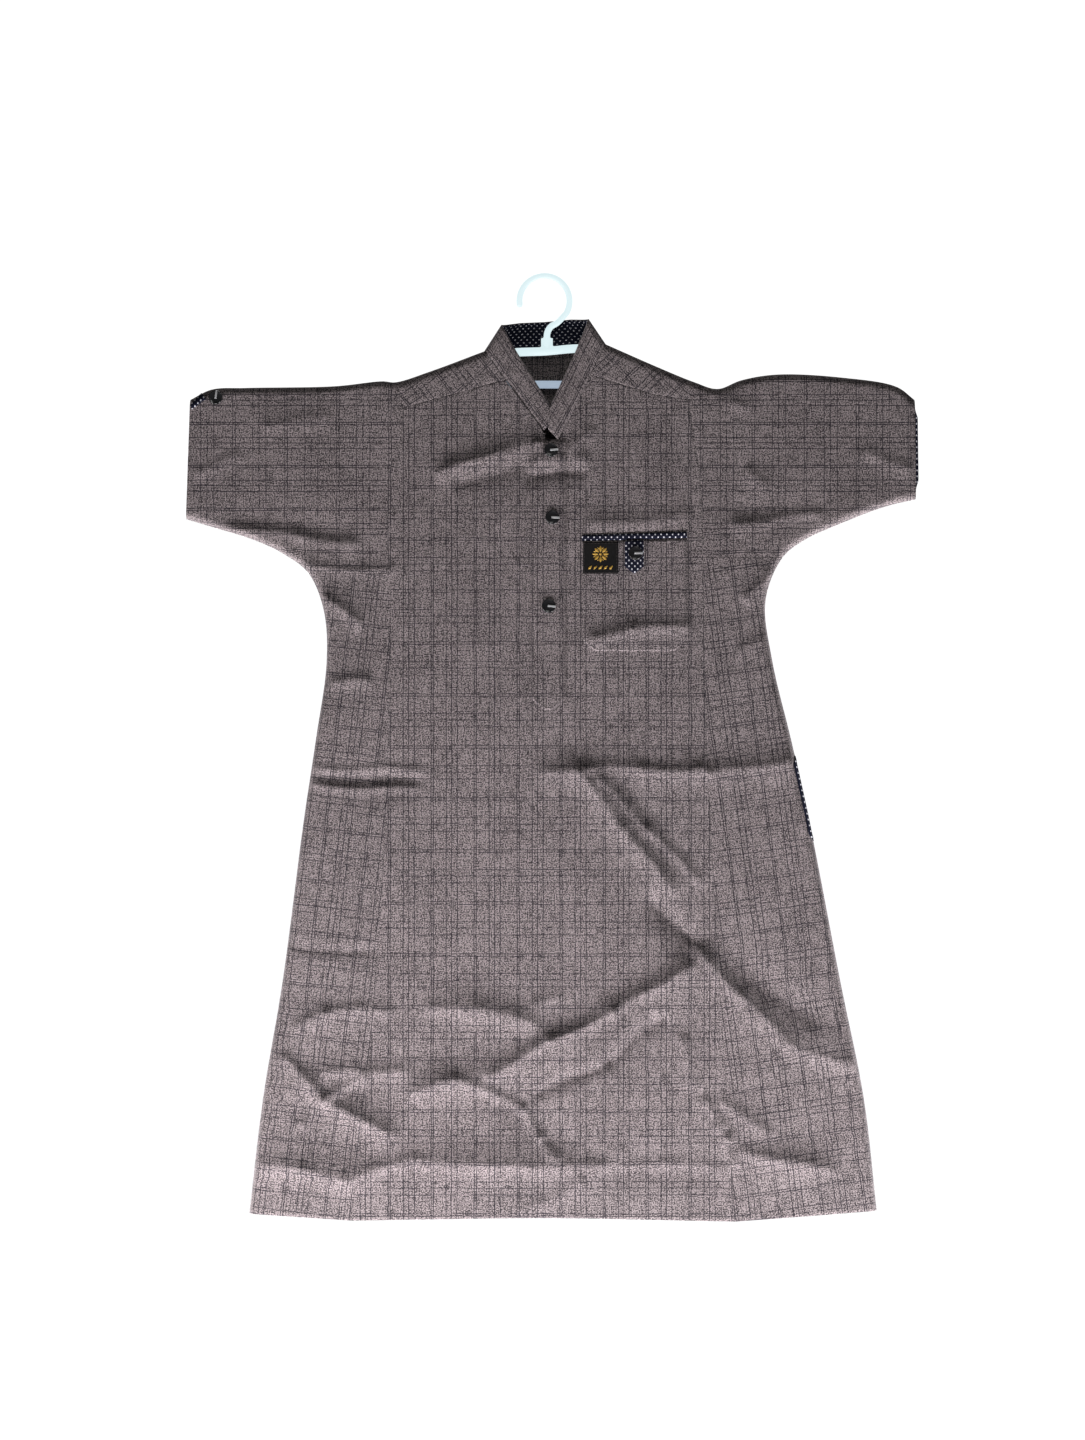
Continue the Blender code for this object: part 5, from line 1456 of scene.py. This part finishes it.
def hanger():
    """Rods, balls and fins joined into one moulding by a remesh, and softened."""
    rod_radius = FRAME_ROD / 2
    body = bmesh.new()
    arm = {}
    for side in (RIGHT, LEFT):
        edge = stretch(top_curve[side], place(side, TOP_EDGE[side]["neck"]),
                       place(side, TOP_EDGE[side]["armhole"]))
        last = HANGER_MIDDLE + side * (HANGER_WIDTH / 2 - rod_radius)
        held = edge[np.abs(edge[:, 0]) < abs(last) + 2]
        at, ahead = (pick(held, [share + step for share in (0.0, 0.25, 0.5, 0.75, 0.97)])
                     for step in (0.0, 0.03))
        run = (ahead - at) / np.linalg.norm(ahead - at, axis=1)[:, None]
        inside = side * np.column_stack([-run[:, 1], run[:, 0]])
        arm[side] = [tuple(point) for point in at + inside * (rod_radius + UNDER_CLOTH)]
    arms = smooth(arm[RIGHT][::-1] + list(CROWN) + arm[LEFT], 6)
    rod(body, arms, [rod_radius] * len(arms))
    bar = smooth([arm[RIGHT][-1], (-BAR_BEND_OUT, BAR_DROP), (0.0, BAR_DROP - BAR_RISE),
                  (BAR_BEND_OUT, BAR_DROP), arm[LEFT][-1]], 8)
    rod(body, bar, [rod_radius - BAR_THINNER] * len(bar))
    for side in (RIGHT, LEFT):
        tip = arm[side][-1]
        bmesh.ops.create_uvsphere(body, u_segments=20, v_segments=14,
                                  radius=(rod_radius + END_THICKER) * MM,
                                  matrix=Matrix.Translation((tip[0] * MM, 0, -tip[1] * MM)))
        fin = Matrix.Translation(((HOOK_NECK[-1][0] + side * FIN_OUT) * MM, 0, -FIN_DROP * MM))
        bmesh.ops.create_cube(body, size=MM, matrix=fin @ Matrix.Diagonal((*FIN_SIZE, 1.0)))
    middle = HOOK_INNER_RADIUS + HOOK_ROD / 2
    arc = [math.radians(angle) for angle in range(*HOOK_TURN)]
    hook = [(middle * math.cos(a), HOOK_INNER_RADIUS - middle * math.sin(a)) for a in arc]
    neck = [tuple(p) for p in smooth([hook[-1]] + list(HOOK_NECK), 8)[1:]]
    thick = [HOOK_ROD / 2] * len(hook) + list(np.linspace(HOOK_ROD, STEM_ROD, len(neck)) / 2)
    rod(body, hook + neck, thick)
    bmesh.ops.create_uvsphere(body, u_segments=16, v_segments=12, radius=HOOK_ROD / 2 * MM,
                              matrix=Matrix.Translation((hook[0][0] * MM, 0, -hook[0][1] * MM)))
    bmesh.ops.recalc_face_normals(body, faces=body.faces)
    mesh = bpy.data.meshes.new("hanger_moulding")
    body.to_mesh(mesh)
    body.free()
    mesh.materials.append(hanger_plastic())
    piece = smooth_mesh("hanger_moulding", mesh)
    join = piece.modifiers.new("one_moulding", "REMESH")
    join.mode = "VOXEL"
    join.voxel_size = VOXEL * MM
    join.use_smooth_shade = True
    soften = piece.modifiers.new("soft_joins", "SMOOTH")
    soften.factor = 0.5
    soften.iterations = 6
    piece.visible_diffuse = False       # its glow lights nothing else
    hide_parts("hanger")


hanger()


# Backdrop: white studio paper laid on the floor and curved up into a wall all round, well
# clear of the hem, so that the garment hangs in an even white room.

FLOOR_DROP, ROOM_RADIUS, PAPER_BEND, WALL_TOP = 2.6, 7.0, 1.8, 6.0


def backdrop():
    bend = [math.radians(turn) for turn in range(0, 91, 6)]
    profile = [(0.0, -FLOOR_DROP)]
    profile += [(ROOM_RADIUS - PAPER_BEND + PAPER_BEND * math.sin(a),
                 -FLOOR_DROP + PAPER_BEND * (1 - math.cos(a))) for a in bend]
    profile.append((ROOM_RADIUS, WALL_TOP))
    mesh = turned("studio_paper", [(radius / MM, height / MM) for radius, height in profile])
    mesh.shade_smooth()
    paper, _, _ = new_material("white_paper", Base_Color=(0.9, 0.9, 0.9, 1.0), Roughness=0.95,
                               Emission_Strength=1.0, Emission_Color=(1.0, 1.0, 1.0, 1.0))
    mesh.materials.append(paper)
    sheet = bpy.data.objects.new("studio_paper", mesh)
    bpy.context.collection.objects.link(sheet)
    sheet.visible_diffuse = False       # it is seen, and doesn't light the garment
    sheet.visible_glossy = False


backdrop()


# Lights: three soft lamps low on both sides, which brighten the skirt and rake over its
# creases, a small weak one above the collar, and the same four behind for the back.

Light = namedtuple("Light", "name at aim size watts colour")
IN_FRONT = (
    Light("left", (-1.05, -0.40, -1.1), (0.0, 0.0, -0.6), 0.45, 10.6, (1.0, 0.96, 0.98)),
    Light("low_left", (-0.35, -0.5, -1.45), (0.0, 0.0, -0.75), 0.4, 9.4, (1.0, 0.96, 0.99)),
    Light("low_right", (0.7, -0.5, -1.45), (0.05, 0.0, -0.7), 0.45, 14.5, (1.0, 0.97, 1.0)),
    Light("high", (0.15, -0.75, 0.4), (0.0, 0.0, -0.05), 0.3, 0.75, (1.0, 0.99, 0.97)))
LIGHTS = IN_FRONT + tuple(
    light._replace(name=light.name + "_behind", at=(-light.at[0], -light.at[1], light.at[2]))
    for light in IN_FRONT)

for light in LIGHTS:
    lamp_data = bpy.data.lights.new(light.name, "AREA")
    lamp_data.size = light.size
    lamp_data.energy = light.watts
    lamp_data.color = light.colour
    lamp = bpy.data.objects.new(light.name, lamp_data)
    bpy.context.collection.objects.link(lamp)
    lamp.location = light.at
    lamp.visible_camera = False
    lamp.rotation_mode = "QUATERNION"
    lamp.rotation_quaternion = (Vector(light.aim) - Vector(light.at)).to_track_quat("-Z", "Y")

sky = bpy.data.worlds.new("studio")
sky.use_nodes = True
sky.node_tree.nodes["Background"].inputs["Color"].default_value = (1.0, 1.0, 1.0, 1.0)
sky.node_tree.nodes["Background"].inputs["Strength"].default_value = 0.06
bpy.context.scene.world = sky
bpy.context.scene.view_settings.view_transform = "Standard"


# Camera: straight on to the front, level with the middle of the garment.

VIEW_CENTRE = (-1.75 * MM, -387.0 * MM)     # x and z at the middle of the picture
VIEW_HEIGHT = 1.26                          # that the picture takes in at the front's depth
FRONT_DEPTH = 0.012
LENS, SENSOR = 112.0, 36.0

camera_data = bpy.data.cameras.new("front_camera")
camera_data.lens = LENS
camera_data.sensor_width = SENSOR
camera = bpy.data.objects.new("front_camera", camera_data)
bpy.context.collection.objects.link(camera)
camera.location = (VIEW_CENTRE[0], -VIEW_HEIGHT * LENS / SENSOR - FRONT_DEPTH, VIEW_CENTRE[1])
camera.rotation_euler = (math.radians(90), 0, 0)
bpy.context.scene.camera = camera
